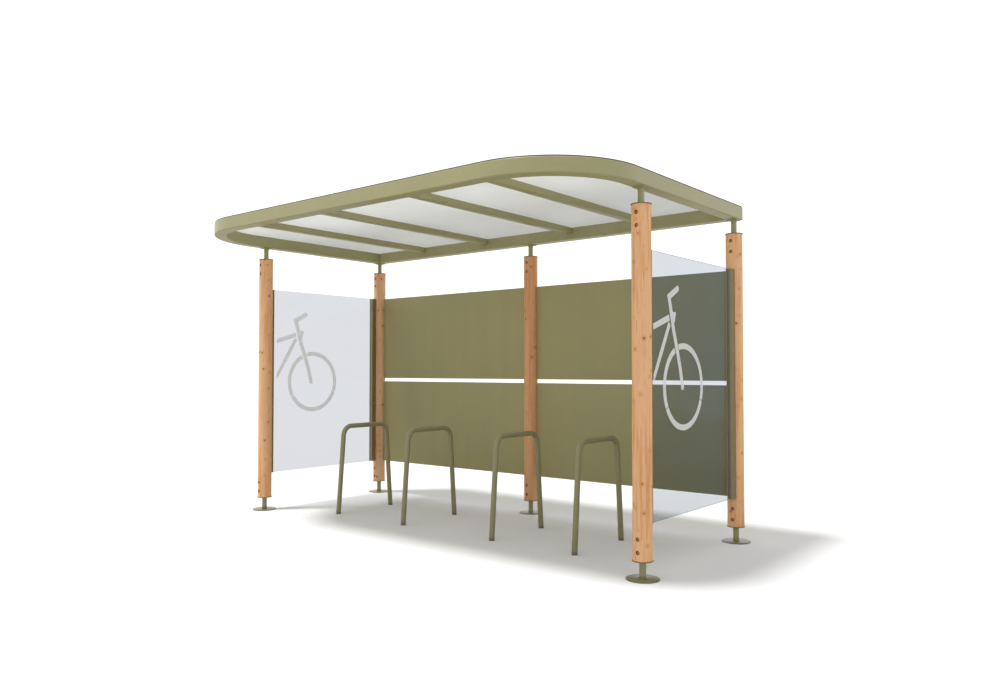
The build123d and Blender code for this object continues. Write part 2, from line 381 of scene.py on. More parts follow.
class Kind(Enum):
    """The kinds of shader node that the finishes are made of."""

    PLACE = "ShaderNodeTexCoord"
    GEOMETRY = "ShaderNodeNewGeometry"
    RAYS = "ShaderNodeLightPath"
    NOISE = "ShaderNodeTexNoise"
    CELLS = "ShaderNodeTexVoronoi"
    MAPPING = "ShaderNodeMapping"
    AXES = "ShaderNodeSeparateXYZ"
    MATHS = "ShaderNodeMath"
    VECTOR_MATHS = "ShaderNodeVectorMath"
    RANGE = "ShaderNodeMapRange"
    RAMP = "ShaderNodeValToRGB"
    BLEND = "ShaderNodeMix"
    BUMP = "ShaderNodeBump"
    FRESNEL = "ShaderNodeFresnel"
    PRINCIPLED = "ShaderNodeBsdfPrincipled"
    DIFFUSE = "ShaderNodeBsdfDiffuse"
    GLOSSY = "ShaderNodeBsdfGlossy"
    CLEAR = "ShaderNodeBsdfTransparent"
    TRANSLUCENT = "ShaderNodeBsdfTranslucent"
    SHADER_BLEND = "ShaderNodeMixShader"
    BACKGROUND = "ShaderNodeBackground"
    MATERIAL_OUTPUT = "ShaderNodeOutputMaterial"
    WORLD_OUTPUT = "ShaderNodeOutputWorld"


# A blend takes its share at input 0 and its two colours at 6 and 7, and its colour is output 2
MIX = {"data_type": "RGBA"}
TIMES = {"data_type": "RGBA", "blend_type": "MULTIPLY"}


def linear(hex_colour: str) -> Colour:
    """The linear colour of an sRGB hex string, by the sRGB curve, so that it renders as written.

    Args:
        hex_colour: "#RRGGBB".

    Returns:
        Red, green, blue and an opaque alpha.
    """
    parts = np.array([int(hex_colour[i:i + 2], 16) / 255 for i in (1, 3, 5)])
    value = np.where(parts <= 0.04045, parts / 12.92, ((parts + 0.055) / 1.055) ** 2.4)
    return (float(value[0]), float(value[1]), float(value[2]), 1.0)


def grey(level: float) -> Colour:
    """A neutral linear colour, by which another is lightened or darkened."""
    return (level, level, level, 1.0)


def per_metre(size_mm: float) -> float:
    """How often per metre a pattern of this size repeats."""
    return 1000.0 / size_mm


def node(
    tree: Tree, kind: Kind, settings: dict[str, object] | None = None,
    stops: Sequence[tuple[float, Colour]] = (), **inputs: object,
) -> Node:
    """Adds a shader node with its settings and links.

    Args:
        tree: the material's node tree.
        kind: which kind of node.
        settings: attributes to set on the node.
        stops: a colour ramp's positions and colours, in order.
        **inputs: by input name, with underscores for spaces, or in_3 for the input with that
            number: a value, a hex colour, an output, or a node, which stands for its first
            output or, where it is a blend, for its colour.

    Returns:
        The new node.
    """
    made = tree.nodes.new(kind.value)
    for name, value in (settings or {}).items():
        setattr(made, name, value)
    for number, (position, colour) in enumerate(stops):
        elements = made.color_ramp.elements
        stop = elements[number] if number < 2 else elements.new(position)
        stop.position, stop.color = position, colour
    for name, value in inputs.items():
        numbered = name.startswith("in_")
        socket = made.inputs[int(name[3:]) if numbered else name.replace("_", " ")]
        if isinstance(value, bpy.types.Node):
            value = value.outputs[2 if value.bl_idname == Kind.BLEND.value else 0]
        if isinstance(value, str):
            value = linear(value)
        if isinstance(value, Socket):
            tree.links.new(value, socket)
        else:
            socket.default_value = value
    return made


def drawn_out(width_mm: float, length_mm: float) -> tuple[float, float, float]:
    """Repeats per metre along X, Y and Z of a pattern that is drawn out along Z."""
    return (per_metre(width_mm), per_metre(width_mm), per_metre(length_mm))


def fresh(name: str) -> tuple[Material, Tree, Socket, Socket]:
    """Makes a material that so far only knows where on the piece it is.

    Args:
        name: the material's name.

    Returns:
        The material, its tree, the place on the piece in metres, and its output's surface.
    """
    material = bpy.data.materials.new(name)
    material.use_nodes = True
    tree = material.node_tree
    tree.nodes.clear()
    surface = node(tree, Kind.MATERIAL_OUTPUT).inputs["Surface"]
    return material, tree, node(tree, Kind.PLACE).outputs["Object"], surface


@dataclass(frozen=True)
class OlivePowderCoat:
    """Polyester powder coat on steel or aluminium: satin, with a fine orange-peel skin that
    breaks up highlights, a little dust lying unevenly, and a darker olive near the ground."""

    name: str
    colour: str
    dusty: str
    near_ground_colour: str = "#6E6A4A"
    skin_mm: float = 5.0          # real orange peel is nearer 2 mm, drawn coarser so that it shows
    dust_mm: float = 260.0
    fleck_mm: float = 14.0
    near_ground_height: float = 0.030    # the coat turns darker from here down to the ground
    sheen: float = 0.5            # 0.5 is the full sheen of its refractive index

    def material(self) -> Material:
        """Builds the coat.

        Returns:
            The material.
        """
        material, tree, where, surface = fresh(self.name)
        cloud = node(
            tree, Kind.NOISE, Vector=where, Scale=per_metre(self.dust_mm), Detail=5.0,
            Roughness=0.6,
        )
        fleck = node(tree, Kind.NOISE, Vector=where, Scale=per_metre(self.fleck_mm), Detail=3.0)
        skin = node(tree, Kind.NOISE, Vector=where, Scale=per_metre(self.skin_mm), Detail=2.0)
        dust = node(tree, Kind.RANGE, Value=cloud, From_Min=0.42, From_Max=0.72, To_Max=0.35)
        dusted = node(tree, Kind.BLEND, MIX, in_0=dust, in_6=self.colour, in_7=self.dusty)
        height = node(tree, Kind.AXES, Vector=where).outputs["Z"]
        low = node(
            tree, Kind.RANGE, Value=height, From_Min=0.3 * self.near_ground_height,
            From_Max=self.near_ground_height, To_Min=0.85, To_Max=0.0,
        )
        # The coat is blended towards a darker olive near the ground
        darkened_near_ground = node(tree, Kind.BLEND, MIX, in_0=low, in_6=dusted, in_7=self.near_ground_colour)
        tone = node(tree, Kind.RAMP, stops=[(0.3, grey(0.96)), (0.7, grey(1.03))], Fac=fleck)
        paint = node(tree, Kind.BLEND, TIMES, in_0=1.0, in_6=darkened_near_ground, in_7=tone)
        rough = node(
            tree, Kind.RANGE, Value=cloud, From_Min=0.3, From_Max=0.75, To_Min=0.30, To_Max=0.44,
        )
        peel = node(tree, Kind.BUMP, Height=skin, Strength=0.12, Distance=0.25 * MM)
        coat = node(
            tree, Kind.PRINCIPLED, Base_Color=paint, Roughness=rough, IOR=1.5,
            Specular_IOR_Level=self.sheen, Normal=peel,
        )
        tree.links.new(coat.outputs[0], surface)
        return material


@dataclass(frozen=True)
class OiledLarch:
    """Turned larch under a thin oil: warm orange-brown, with darker latewood lines and reddish
    flames that run up the post, small dark knots that the grain bends round, and fine drying
    checks. The oil leaves it nearly matt, a shade glossier on the latewood."""

    name: str
    centre: tuple[float, float, float]
    seed: float
    light: str
    dark: str
    flame: str = "#D98E54"
    knot: str = "#74401F"
    ring_mm: float = 6.0
    pith_mm: tuple[float, float] = (50.0, 41.0)   # the post is cut from beside the heart
    pith_wander_mm: float = 8.0
    pith_wander_per_metre: tuple[float, float, float] = (2.0, 2.0, 0.5)
    pith_rise: float = 0.02       # the rings hardly change along the post
    swirl_mm: float = 6.0
    fibre_mm: float = 2.2         # real fibres are finer, drawn coarser so that they show
    fibre_length_mm: float = 90.0
    fibre_shade: Colour = (0.84, 0.79, 0.74, 1.0)
    check_mm: float = 5.0
    check_length_mm: float = 160.0
    flame_mm: float = 22.0
    flame_length_mm: float = 520.0
    knot_spacing_mm: float = 80.0
    knot_radius_mm: float = 8.5

    def material(self) -> Material:
        """Builds the wood of one post.

        Returns:
            The material.
        """
        material, tree, where, surface = fresh(self.name)
        own = node(
            tree, Kind.MAPPING, {"vector_type": "TEXTURE"}, Vector=where, Location=self.centre,
        )
        cut = node(tree, Kind.MAPPING, Vector=own, Location=(0.0, 0.0, self.seed))

        # Knots: spheres round scattered centres, cut by the post's surface
        away = node(tree, Kind.CELLS, Vector=cut, Scale=per_metre(self.knot_spacing_mm))
        reach = self.knot_radius_mm / self.knot_spacing_mm
        knot = node(
            tree, Kind.RANGE, Value=away, From_Min=0.45 * reach, From_Max=reach, To_Min=1.0,
            To_Max=0.0,
        )
        halo = node(
            tree, Kind.RANGE, Value=away, From_Min=0.9 * reach, From_Max=2.8 * reach, To_Min=0.6,
            To_Max=0.0,
        )
        swirl = node(tree, Kind.RANGE, Value=away, From_Max=5.0 * reach, To_Min=1.0, To_Max=0.0)

        # Growth rings: bands of equal distance from a pith that wanders as it rises
        slow = node(tree, Kind.MAPPING, Vector=cut, Scale=self.pith_wander_per_metre)
        wander = node(tree, Kind.NOISE, Vector=slow, Scale=1.0, Detail=1.0).outputs["Color"]
        drift = node(
            tree, Kind.VECTOR_MATHS, {"operation": "MULTIPLY_ADD"}, in_0=wander,
            in_1=(2 * self.pith_wander_mm * MM,) * 3, in_2=own,
        )
        pith = (self.pith_mm[0] * MM, self.pith_mm[1] * MM, 0.0)
        flat = node(
            tree, Kind.MAPPING, Vector=drift, Location=pith, Scale=(1.0, 1.0, self.pith_rise),
        )
        radius = node(tree, Kind.VECTOR_MATHS, {"operation": "LENGTH"}, in_0=flat).outputs["Value"]
        bent = node(
            tree, Kind.MATHS, {"operation": "MULTIPLY_ADD"}, in_0=swirl, in_1=self.swirl_mm * MM,
            in_2=radius,
        )
        rings = node(
            tree, Kind.MATHS, {"operation": "MULTIPLY"}, in_0=bent, in_1=per_metre(self.ring_mm),
        )
        band = node(tree, Kind.MATHS, {"operation": "FRACT"}, in_0=rings)

        # Fibres, flames and checks: noise drawn out along the post
        fibre_size = drawn_out(self.fibre_mm, self.fibre_length_mm)
        drawn = node(tree, Kind.MAPPING, Vector=cut, Scale=fibre_size)
        fibre = node(tree, Kind.NOISE, Vector=drawn, Scale=1.0, Detail=4.0, Roughness=0.6)
        flame_size = drawn_out(self.flame_mm, self.flame_length_mm)
        broad = node(tree, Kind.MAPPING, Vector=cut, Scale=flame_size)
        streak = node(tree, Kind.NOISE, Vector=broad, Scale=1.0, Detail=3.0)
        check_size = drawn_out(self.check_mm, self.check_length_mm)
        split = node(tree, Kind.MAPPING, Vector=cut, Scale=check_size)
        gap = node(tree, Kind.NOISE, Vector=split, Scale=1.0, Detail=1.0)
        check = node(tree, Kind.RANGE, Value=gap, From_Min=0.74, From_Max=0.79, To_Max=0.7)

        # Colours: pale earlywood to dark latewood, then flames, fibres, knots and checks on top
        year = [(0.0, grey(0.1)), (0.5, grey(0.2)), (0.86, grey(0.75)), (1.0, grey(0.1))]
        late = node(tree, Kind.RAMP, stops=year, Fac=band)
        grain = node(tree, Kind.BLEND, MIX, in_0=late, in_6=self.light, in_7=self.dark)
        glow = node(tree, Kind.RANGE, Value=streak, From_Min=0.50, From_Max=0.68, To_Max=0.60)
        flamed = node(tree, Kind.BLEND, MIX, in_0=glow, in_6=grain, in_7=self.flame)
        shades = [(0.32, self.fibre_shade), (0.60, grey(1.03))]
        line = node(tree, Kind.RAMP, stops=shades, Fac=fibre)
        lined = node(tree, Kind.BLEND, TIMES, in_0=1.0, in_6=flamed, in_7=line)
        ringed = node(tree, Kind.BLEND, MIX, in_0=halo, in_6=lined, in_7=self.flame)
        cored = node(tree, Kind.BLEND, MIX, in_0=knot, in_6=ringed, in_7=self.knot)
        colour = node(tree, Kind.BLEND, MIX, in_0=check, in_6=cored, in_7=self.knot)
        rough = node(tree, Kind.RANGE, Value=band, To_Min=0.64, To_Max=0.52)
        raised = node(tree, Kind.BUMP, Height=fibre, Strength=0.25, Distance=0.5 * MM)
        oiled = node(
            tree, Kind.PRINCIPLED, Base_Color=colour, Roughness=rough, IOR=1.48, Normal=raised,
        )
        tree.links.new(oiled.outputs[0], surface)
        return material


@dataclass(frozen=True)
class DrilledEndGrain:
    """Larch cut across by a drill: a dark brown, matt and slightly furry wall. The open ends of
    the fibres drink the oil and hold dirt, and the brown is darkened further with painted
    shade for the pocket's hollow."""

    name: str = "drilled_end_grain"
    # Dark brown: the end grain's own colour, darkened further with painted shade
    colour: str = "#6E3D1D"
    worn: str = "#9A6236"
    speck_mm: float = 2.5

    def material(self) -> Material:
        """Builds the pocket's wall.

        Returns:
            The material.
        """
        material, tree, where, surface = fresh(self.name)
        speck = node(tree, Kind.NOISE, Vector=where, Scale=per_metre(self.speck_mm), Detail=3.0)
        share = node(tree, Kind.RANGE, Value=speck, From_Min=0.4, From_Max=0.7, To_Max=0.8)
        tone = node(tree, Kind.BLEND, MIX, in_0=share, in_6=self.colour, in_7=self.worn)
        rough_skin = node(tree, Kind.BUMP, Height=speck, Strength=0.3, Distance=0.4 * MM)
        wood = node(
            tree, Kind.PRINCIPLED, Base_Color=tone, Roughness=0.8, IOR=1.48, Normal=rough_skin,
        )
        tree.links.new(wood.outputs[0], surface)
        return material


@dataclass(frozen=True)
class CompactLaminate:
    """High-pressure compact laminate: a satin olive face with a fine textured press finish,
    faint streaks where rain has dried, and a dark brown core at the cut edges."""

    name: str = "compact_laminate"
    colour: str = "#A9A373"
    core: str = "#4A4534"
    grit_mm: float = 4.0          # the press texture is nearer 1 mm, drawn coarser so that it shows
    streak_mm: float = 110.0
    streak_length_mm: float = 1250.0
    cloud_mm: float = 590.0

    def material(self) -> Material:
        """Builds the board.

        Returns:
            The material.
        """
        material, tree, where, surface = fresh(self.name)
        grit = node(tree, Kind.NOISE, Vector=where, Scale=per_metre(self.grit_mm), Detail=2.0)
        streak_size = drawn_out(self.streak_mm, self.streak_length_mm)
        fallen = node(tree, Kind.MAPPING, Vector=where, Scale=streak_size)
        run = node(tree, Kind.NOISE, Vector=fallen, Scale=1.0, Detail=5.0)
        cloud = node(tree, Kind.NOISE, Vector=where, Scale=per_metre(self.cloud_mm), Detail=4.0)
        tone = node(tree, Kind.RAMP, stops=[(0.3, grey(0.96)), (0.7, grey(1.02))], Fac=run)
        patch = node(tree, Kind.RAMP, stops=[(0.3, grey(0.97)), (0.7, grey(1.02))], Fac=cloud)
        streaked = node(tree, Kind.BLEND, TIMES, in_0=1.0, in_6=self.colour, in_7=tone)
        face = node(tree, Kind.BLEND, TIMES, in_0=1.0, in_6=streaked, in_7=patch)
        facing = node(tree, Kind.GEOMETRY).outputs["Normal"]
        outward = node(tree, Kind.AXES, Vector=facing).outputs["Y"]
        flatness = node(tree, Kind.MATHS, {"operation": "ABSOLUTE"}, in_0=outward)
        # The core shows wherever a face looks along the board rather than out of it
        edge = node(
            tree, Kind.RANGE, Value=flatness, From_Min=0.3, From_Max=0.8, To_Min=1.0, To_Max=0.0,
        )
        colour = node(tree, Kind.BLEND, MIX, in_0=edge, in_6=face, in_7=self.core)
        rough = node(
            tree, Kind.RANGE, Value=run, From_Min=0.3, From_Max=0.7, To_Min=0.50, To_Max=0.60,
        )
        press = node(tree, Kind.BUMP, Height=grit, Strength=0.15, Distance=0.2 * MM)
        board = node(
            tree, Kind.PRINCIPLED, Base_Color=colour, Roughness=rough, IOR=1.5, Normal=press,
        )
        tree.links.new(board.outputs[0], surface)
        return material


@dataclass(frozen=True)
class OpalSheet:
    """Opal polycarbonate: a milky sheet that lets soft daylight through, so that it glows from
    below, with a satin skin, a few dust marks on it, and painted shade that darkens it towards
    the back."""

    name: str = "opal_polycarbonate"
    colour: str = "#E9ECEE"
    through: str = "#F5F5F5"
    passes: float = 0.52
    shade_from_y: float = -0.75      # along Y, painted shade darkens the sheet ever more from here to here, and takes away this share of its light
    shade_to_y: float = 0.35         # to here, and keeps back this share of the light
    back_shade: float = 0.135
    dust_tint: Colour = (0.955, 0.955, 0.945, 1.0)
    dust_mm: float = 450.0
    speck_mm: float = 9.0

    def material(self) -> Material:
        """Builds the sheet.

        Returns:
            The material.
        """
        material, tree, where, surface = fresh(self.name)
        dust = node(
            tree, Kind.NOISE, Vector=where, Scale=per_metre(self.dust_mm), Detail=6.0,
            Roughness=0.6,
        )
        speck = node(tree, Kind.NOISE, Vector=where, Scale=per_metre(self.speck_mm), Detail=2.0)
        tints = [(0.35, self.dust_tint), (0.65, grey(1.0))]
        tone = node(tree, Kind.RAMP, stops=tints, Fac=dust)
        along = node(tree, Kind.AXES, Vector=where).outputs["Y"]
        # Painted shade: the sheet is made darker towards the back, on its face and in the light it
        # lets through
        painted_back_shade = node(
            tree, Kind.RANGE, {"interpolation_type": "SMOOTHSTEP"}, Value=along,
            From_Min=self.shade_from_y, From_Max=self.shade_to_y, To_Min=1.0, To_Max=1.0 - self.back_shade,
        )
        dust_and_painted_shade = node(tree, Kind.BLEND, TIMES, in_0=1.0, in_6=tone, in_7=painted_back_shade)
        face = node(tree, Kind.BLEND, TIMES, in_0=1.0, in_6=self.colour, in_7=dust_and_painted_shade)
        milk = node(tree, Kind.BLEND, TIMES, in_0=1.0, in_6=self.through, in_7=dust_and_painted_shade)
        rough = node(
            tree, Kind.RANGE, Value=dust, From_Min=0.3, From_Max=0.7, To_Min=0.30, To_Max=0.42,
        )
        ripple = node(tree, Kind.BUMP, Height=speck, Strength=0.05, Distance=0.3 * MM)
        skin = node(
            tree, Kind.PRINCIPLED, Base_Color=face, Roughness=rough, IOR=1.58, Normal=ripple,
        )
        glow = node(tree, Kind.TRANSLUCENT, Color=milk)
        both = node(tree, Kind.SHADER_BLEND, in_0=self.passes, in_1=skin, in_2=glow)
        tree.links.new(both.outputs[0], surface)
        return material


@dataclass(frozen=True)
class ToughenedGlass:
    """Toughened float glass: clear with a faint cool grey tint, a mirror that grows towards
    grazing angles, and polished edges that look pale because light runs along the pane."""

    name: str = "toughened_glass"
    tint: str = "#E3E4E6"
    edge: str = "#DDE6E3"
    mirror: Colour = (0.40, 0.72, 1.0, 1.0)   # the blue tint of this mirror is a painted reflection and the mirror is kept weaker than bare float's
    mirror_share: float = 0.22                # and less light than bare float does
    index: float = 1.5
    smear_mm: float = 420.0

    def material(self) -> Material:
        """Builds the pane.

        Returns:
            The material.
        """
        material, tree, where, surface = fresh(self.name)
        smear = node(tree, Kind.NOISE, Vector=where, Scale=per_metre(self.smear_mm), Detail=4.0)
        rough = node(
            tree, Kind.RANGE, Value=smear, From_Min=0.45, From_Max=0.7, To_Min=0.01, To_Max=0.05,
        )
        clear = node(tree, Kind.CLEAR, Color=self.tint)
        # The glossy's blue tint is a painted reflection
        mirror = node(tree, Kind.GLOSSY, Color=self.mirror, Roughness=rough)
        geometry = node(tree, Kind.GEOMETRY)
        # Light leaving the pane meets its second face from inside; the thin pane mirrors there
        # as it does at the first, so the node gets the reciprocal index on back faces
        index = node(
            tree, Kind.RANGE, Value=geometry.outputs["Backfacing"], To_Min=self.index,
            To_Max=1 / self.index,
        )
        gloss = node(tree, Kind.FRESNEL, IOR=index)
        share = node(tree, Kind.RANGE, Value=gloss, To_Max=self.mirror_share)
        pane = node(tree, Kind.SHADER_BLEND, in_0=share, in_1=clear, in_2=mirror)
        outward = node(tree, Kind.AXES, Vector=geometry.outputs["Normal"]).outputs["X"]
        flatness = node(tree, Kind.MATHS, {"operation": "ABSOLUTE"}, in_0=outward)
        rim = node(
            tree, Kind.RANGE, Value=flatness, From_Min=0.3, From_Max=0.9, To_Min=1.0, To_Max=0.0,
        )
        polished = node(tree, Kind.PRINCIPLED, Base_Color=self.edge, Roughness=0.12, IOR=self.index)
        both = node(tree, Kind.SHADER_BLEND, in_0=rim, in_1=pane, in_2=polished)
        tree.links.new(both.outputs[0], surface)
        return material


@dataclass(frozen=True)
class WhiteVinylFilm:
    """Matt white vinyl film on the glass: a flat white with a dry skin. It lets a little light
    through, so that it turns a cool pale grey where the light is behind it."""

    name: str = "white_vinyl_film"
    colour: str = "#FDFFFF"
    through: str = "#F2F6FF"
    mottle_mm: float = 22.0
    passes: float = 0.27
    clear: float = 0.12

    def material(self) -> Material:
        """Builds the film.

        Returns:
            The material.
        """
        material, tree, where, surface = fresh(self.name)
        mottle = node(tree, Kind.NOISE, Vector=where, Scale=per_metre(self.mottle_mm), Detail=4.0)
        tone = node(tree, Kind.RAMP, stops=[(0.3, grey(0.985)), (0.7, grey(1.0))], Fac=mottle)
        colour = node(tree, Kind.BLEND, TIMES, in_0=1.0, in_6=self.colour, in_7=tone)
        skin = node(tree, Kind.PRINCIPLED, Base_Color=colour, Roughness=0.55, IOR=1.46)
        glow = node(tree, Kind.TRANSLUCENT, Color=self.through)
        both = node(tree, Kind.SHADER_BLEND, in_0=self.passes, in_1=skin, in_2=glow)
        open_air = node(tree, Kind.CLEAR)
        film = node(tree, Kind.SHADER_BLEND, in_0=self.clear, in_1=both, in_2=open_air)
        tree.links.new(film.outputs[0], surface)
        return material


@dataclass(frozen=True)
class StainlessSteel:
    """Stainless screws: a grey metal, drawn satin with fine random scratches."""

    name: str = "stainless_steel"
    colour: str = "#A9A69E"
    scratch_mm: float = 2.5

    def material(self) -> Material:
        """Builds the metal.

        Returns:
            The material.
        """
        material, tree, where, surface = fresh(self.name)
        scratch = node(tree, Kind.NOISE, Vector=where, Scale=per_metre(self.scratch_mm), Detail=4.0)
        tone = node(tree, Kind.RAMP, stops=[(0.35, grey(0.88)), (0.65, grey(1.0))], Fac=scratch)
        colour = node(tree, Kind.BLEND, TIMES, in_0=1.0, in_6=self.colour, in_7=tone)
        rough = node(
            tree, Kind.RANGE, Value=scratch, From_Min=0.3, From_Max=0.7, To_Min=0.28, To_Max=0.42,
        )
        metal = node(tree, Kind.PRINCIPLED, Base_Color=colour, Metallic=1.0, Roughness=rough)
        tree.links.new(metal.outputs[0], surface)
        return material


@dataclass(frozen=True)
class BrownedSteel:
    """Bolt steel gone brown outdoors: a dull red-brown oxide skin, rubbed lighter in places."""

    name: str = "browned_steel"
    colour: str = "#AD6C3B"
    rubbed: str = "#D19A66"
    grain_mm: float = 3.0

    def material(self) -> Material:
        """Builds the oxide skin.

        Returns:
            The material.
        """
        material, tree, where, surface = fresh(self.name)
        grain = node(tree, Kind.NOISE, Vector=where, Scale=per_metre(self.grain_mm), Detail=4.0)
        share = node(tree, Kind.RANGE, Value=grain, From_Min=0.4, From_Max=0.7)
        tone = node(tree, Kind.BLEND, MIX, in_0=share, in_6=self.colour, in_7=self.rubbed)
        pitted = node(tree, Kind.BUMP, Height=grain, Strength=0.3, Distance=0.2 * MM)
        oxide = node(tree, Kind.PRINCIPLED, Base_Color=tone, Roughness=0.6, Normal=pitted)
        tree.links.new(oxide.outputs[0], surface)
        return material


@dataclass(frozen=True)
class SealRubber:
    """EPDM rubber: matt, with a faint pale bloom. Black under the roof screws, dark grey round
    the sheet's edge, and stone grey where it beds the glass in its channels, made paler
    there with painted light."""

    name: str
    colour: str
    bloom: str
    bloom_mm: float = 30.0

    def material(self) -> Material:
        """Builds the rubber.

        Returns:
            The material.
        """
        material, tree, where, surface = fresh(self.name)
        bloom = node(tree, Kind.NOISE, Vector=where, Scale=per_metre(self.bloom_mm), Detail=4.0)
        share = node(tree, Kind.RANGE, Value=bloom, From_Min=0.4, From_Max=0.7, To_Max=0.25)
        tone = node(tree, Kind.BLEND, MIX, in_0=share, in_6=self.colour, in_7=self.bloom)
        rubber = node(tree, Kind.PRINCIPLED, Base_Color=tone, Roughness=0.75, IOR=1.5)
        tree.links.new(rubber.outputs[0], surface)
        return material


# ---- sub-assemblies ---------------------------------------------------------------------------

def post_axis(post: str) -> Vector:
    """The point on the ground under a post's axis, from its timber's box."""
    low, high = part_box(f"timber_post_{post}")
    return Vector(((low.x + high.x) / 2, (low.y + high.y) / 2, 0.0))


def dress(name: str, finish: Material) -> None:
    """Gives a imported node's own solid a finish.

    Args:
        name: the node.
        finish: its material.
    """
    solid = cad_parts[name]
    solid.data.materials.clear()
    solid.data.materials.append(finish)
    log.info("%s: %s", name, finish.name)


@dataclass
class TimberPosts:
    """The five turned posts, each with its own run of grain. Painted light keeps three of them
    pale, and painted shade makes the back left and back middle ones darker and redder."""

    # The pale tones are painted light, the brown and red ones painted shade
    pale: tuple[str, str] = ("#FFD09F", "#E8A36B")
    brown: tuple[str, str] = ("#F2C89D", "#CD9A6E")
    red: tuple[str, str] = ("#F2BB8A", "#CE8D5B")
    seeds: tuple[float, ...] = (0.0, 7.3, 13.1, 21.7, 31.9)

    def build(self) -> None:
        """Cuts each timber's larch from its own place in the log."""
        tones_by_light = (self.pale, self.pale, self.brown, self.red, self.pale)
        for post, seed, (light, dark) in zip(POSTS, self.seeds, tones_by_light):
            axis = post_axis(post)
            larch = OiledLarch(f"oiled_larch_{post}", (axis.x, axis.y, 0.0), seed, light, dark)
            dress(f"timber_post_{post}", larch.material())


@dataclass
class PostBolts:
    """Hexagon bolts across the posts: a washer and head in each front pocket, a washer and nut
    in each rear one, and the pockets' dark drilled walls."""

    end_distances: tuple[float, ...] = (0.055, 0.137)
    pocket_radius: float = 0.013
    pocket_depth: float = 0.012
    pocket_points: int = 32
    play: float = 0.00005         # the pocket's skin stands this far off the timber
    rim_drop: float = 0.0001      # and its rim this far below the post's surface
    skin: float = 0.0005
    lap: float = 0.0015           # the skin's floor runs this far in under the washer
    washer_radius: float = 0.0105
    washer: float = 0.0025
    washer_bevel: tuple[float, float] = (0.0003, 0.0004)    # inwards and along the bolt
    head_flats: float = 0.0165
    head_cone: Line = ((0.0, 1.0), (0.78, 1.0), (0.95, 0.52), (1.0, 0.46))   # height, radius
    head: float = 0.0050
    nut: float = 0.0060
    stub_radius: float = 0.006
    stub_profile: Line = ((0.0, 0.0), (0.0, 0.0015), (0.0008, 0.0022))       # inwards, height
    overlap: float = 0.0002       # the stub starts this far inside the nut

    def head_rings(self, height: float) -> Array:
        """A hexagon whose top corners a cone has turned off.

        The cone's heights are shares of the head's, and its radii shares of the size across
        flats.

        Args:
            height: the head's or nut's height.

        Returns:
            Rings, shape (4, 36, 3).
        """
        limits = [self.head_flats * share for _, share in self.head_cone]
        levels = [height * share for share, _ in self.head_cone]
        return stacked([hexagon(self.head_flats, limit) for limit in limits], levels)

    def pocket_rings(self, timber_radius: float) -> Array:
        """The skin of a drilled pocket, whose rim follows the round post.

        The section is a thin L, up the wall and in over the floor. Its rim at angle t stands at
        sqrt(R^2 - (r cos t)^2) - (R - depth) above the floor, where R is the timber's radius and
        r the pocket's.

        Args:
            timber_radius: the post's radius.

        Returns:
            Rings, shape (6, pocket_points, 3), meant to be joined last to first.
        """
        unit = circle(1.0, self.pocket_points)
        outer, inner = self.pocket_radius - self.play, self.pocket_radius - self.skin
        lap = self.washer_radius - self.lap
        surface = np.sqrt(timber_radius ** 2 - (outer * unit[:, 0]) ** 2)
        rim = surface - (timber_radius - self.pocket_depth) - self.rim_drop
        low, high = np.full(self.pocket_points, self.play), np.full(self.pocket_points, self.skin)
        section = (
            (outer, low), (outer, rim), (inner, rim - self.rim_drop), (inner, high), (lap, high),
            (lap, low),
        )
        return np.stack([np.column_stack([radius * unit, level]) for radius, level in section])

    def add_bolt(
        self, bolts: Surface, pockets: Surface, axis: Vector, radius: float, level: float,
    ) -> None:
        """Adds one bolt's two ends and their pockets.

        Args:
            bolts: the surface that takes the bolt.
            pockets: the surface that takes the pockets' walls.
            axis: the post's axis.
            radius: the timber's radius.
            level: height of the bolt.
        """
        floor = radius - self.pocket_depth
        rim, (inwards, up) = self.washer_radius, self.washer_bevel
        washer = lathe([
            (rim - inwards, 0.0), (rim, up), (rim, self.washer - up), (rim - inwards, self.washer),
        ], count=28)
        for direction, sign, height in (("-Y", -1.0, self.head), ("+Y", 1.0, self.nut)):
            seat = (axis.x, axis.y + sign * floor, level)
            pockets.loft(placed(self.pocket_rings(radius), seat, direction), looped=True)
            bolts.loft(placed(washer, seat, direction))
            head_seat = (axis.x, axis.y + sign * (floor + self.washer), level)
            bolts.loft(placed(self.head_rings(height), head_seat, direction))
        stub_rings = [(self.stub_radius - cut, rise) for cut, rise in self.stub_profile]
        stub = lathe(stub_rings, count=20)
        stub_base = axis.y + floor + self.washer + self.nut - self.overlap
        bolts.loft(placed(stub, (axis.x, stub_base, level), "+Y"))

    def build(self, metal: Material, wood: Material) -> None:
        """Makes one piece of four bolts, and one of their pockets, for each post.

        Args:
            metal: the bolts' finish.
            wood: the pockets' finish.
        """
        for post in POSTS:
            low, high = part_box(f"timber_post_{post}")
            bolts, pockets = Surface(), Surface()
            feet = [low.z + distance for distance in self.end_distances]
            heads = [high.z - distance for distance in self.end_distances]
            for level in feet + heads:
                self.add_bolt(bolts, pockets, post_axis(post), (high.x - low.x) / 2, level)
            bolts.piece(f"post_bolts_{post}", metal, Slot.STEEL)
            pockets.piece(f"bolt_pockets_{post}", wood, Slot.TIMBER)


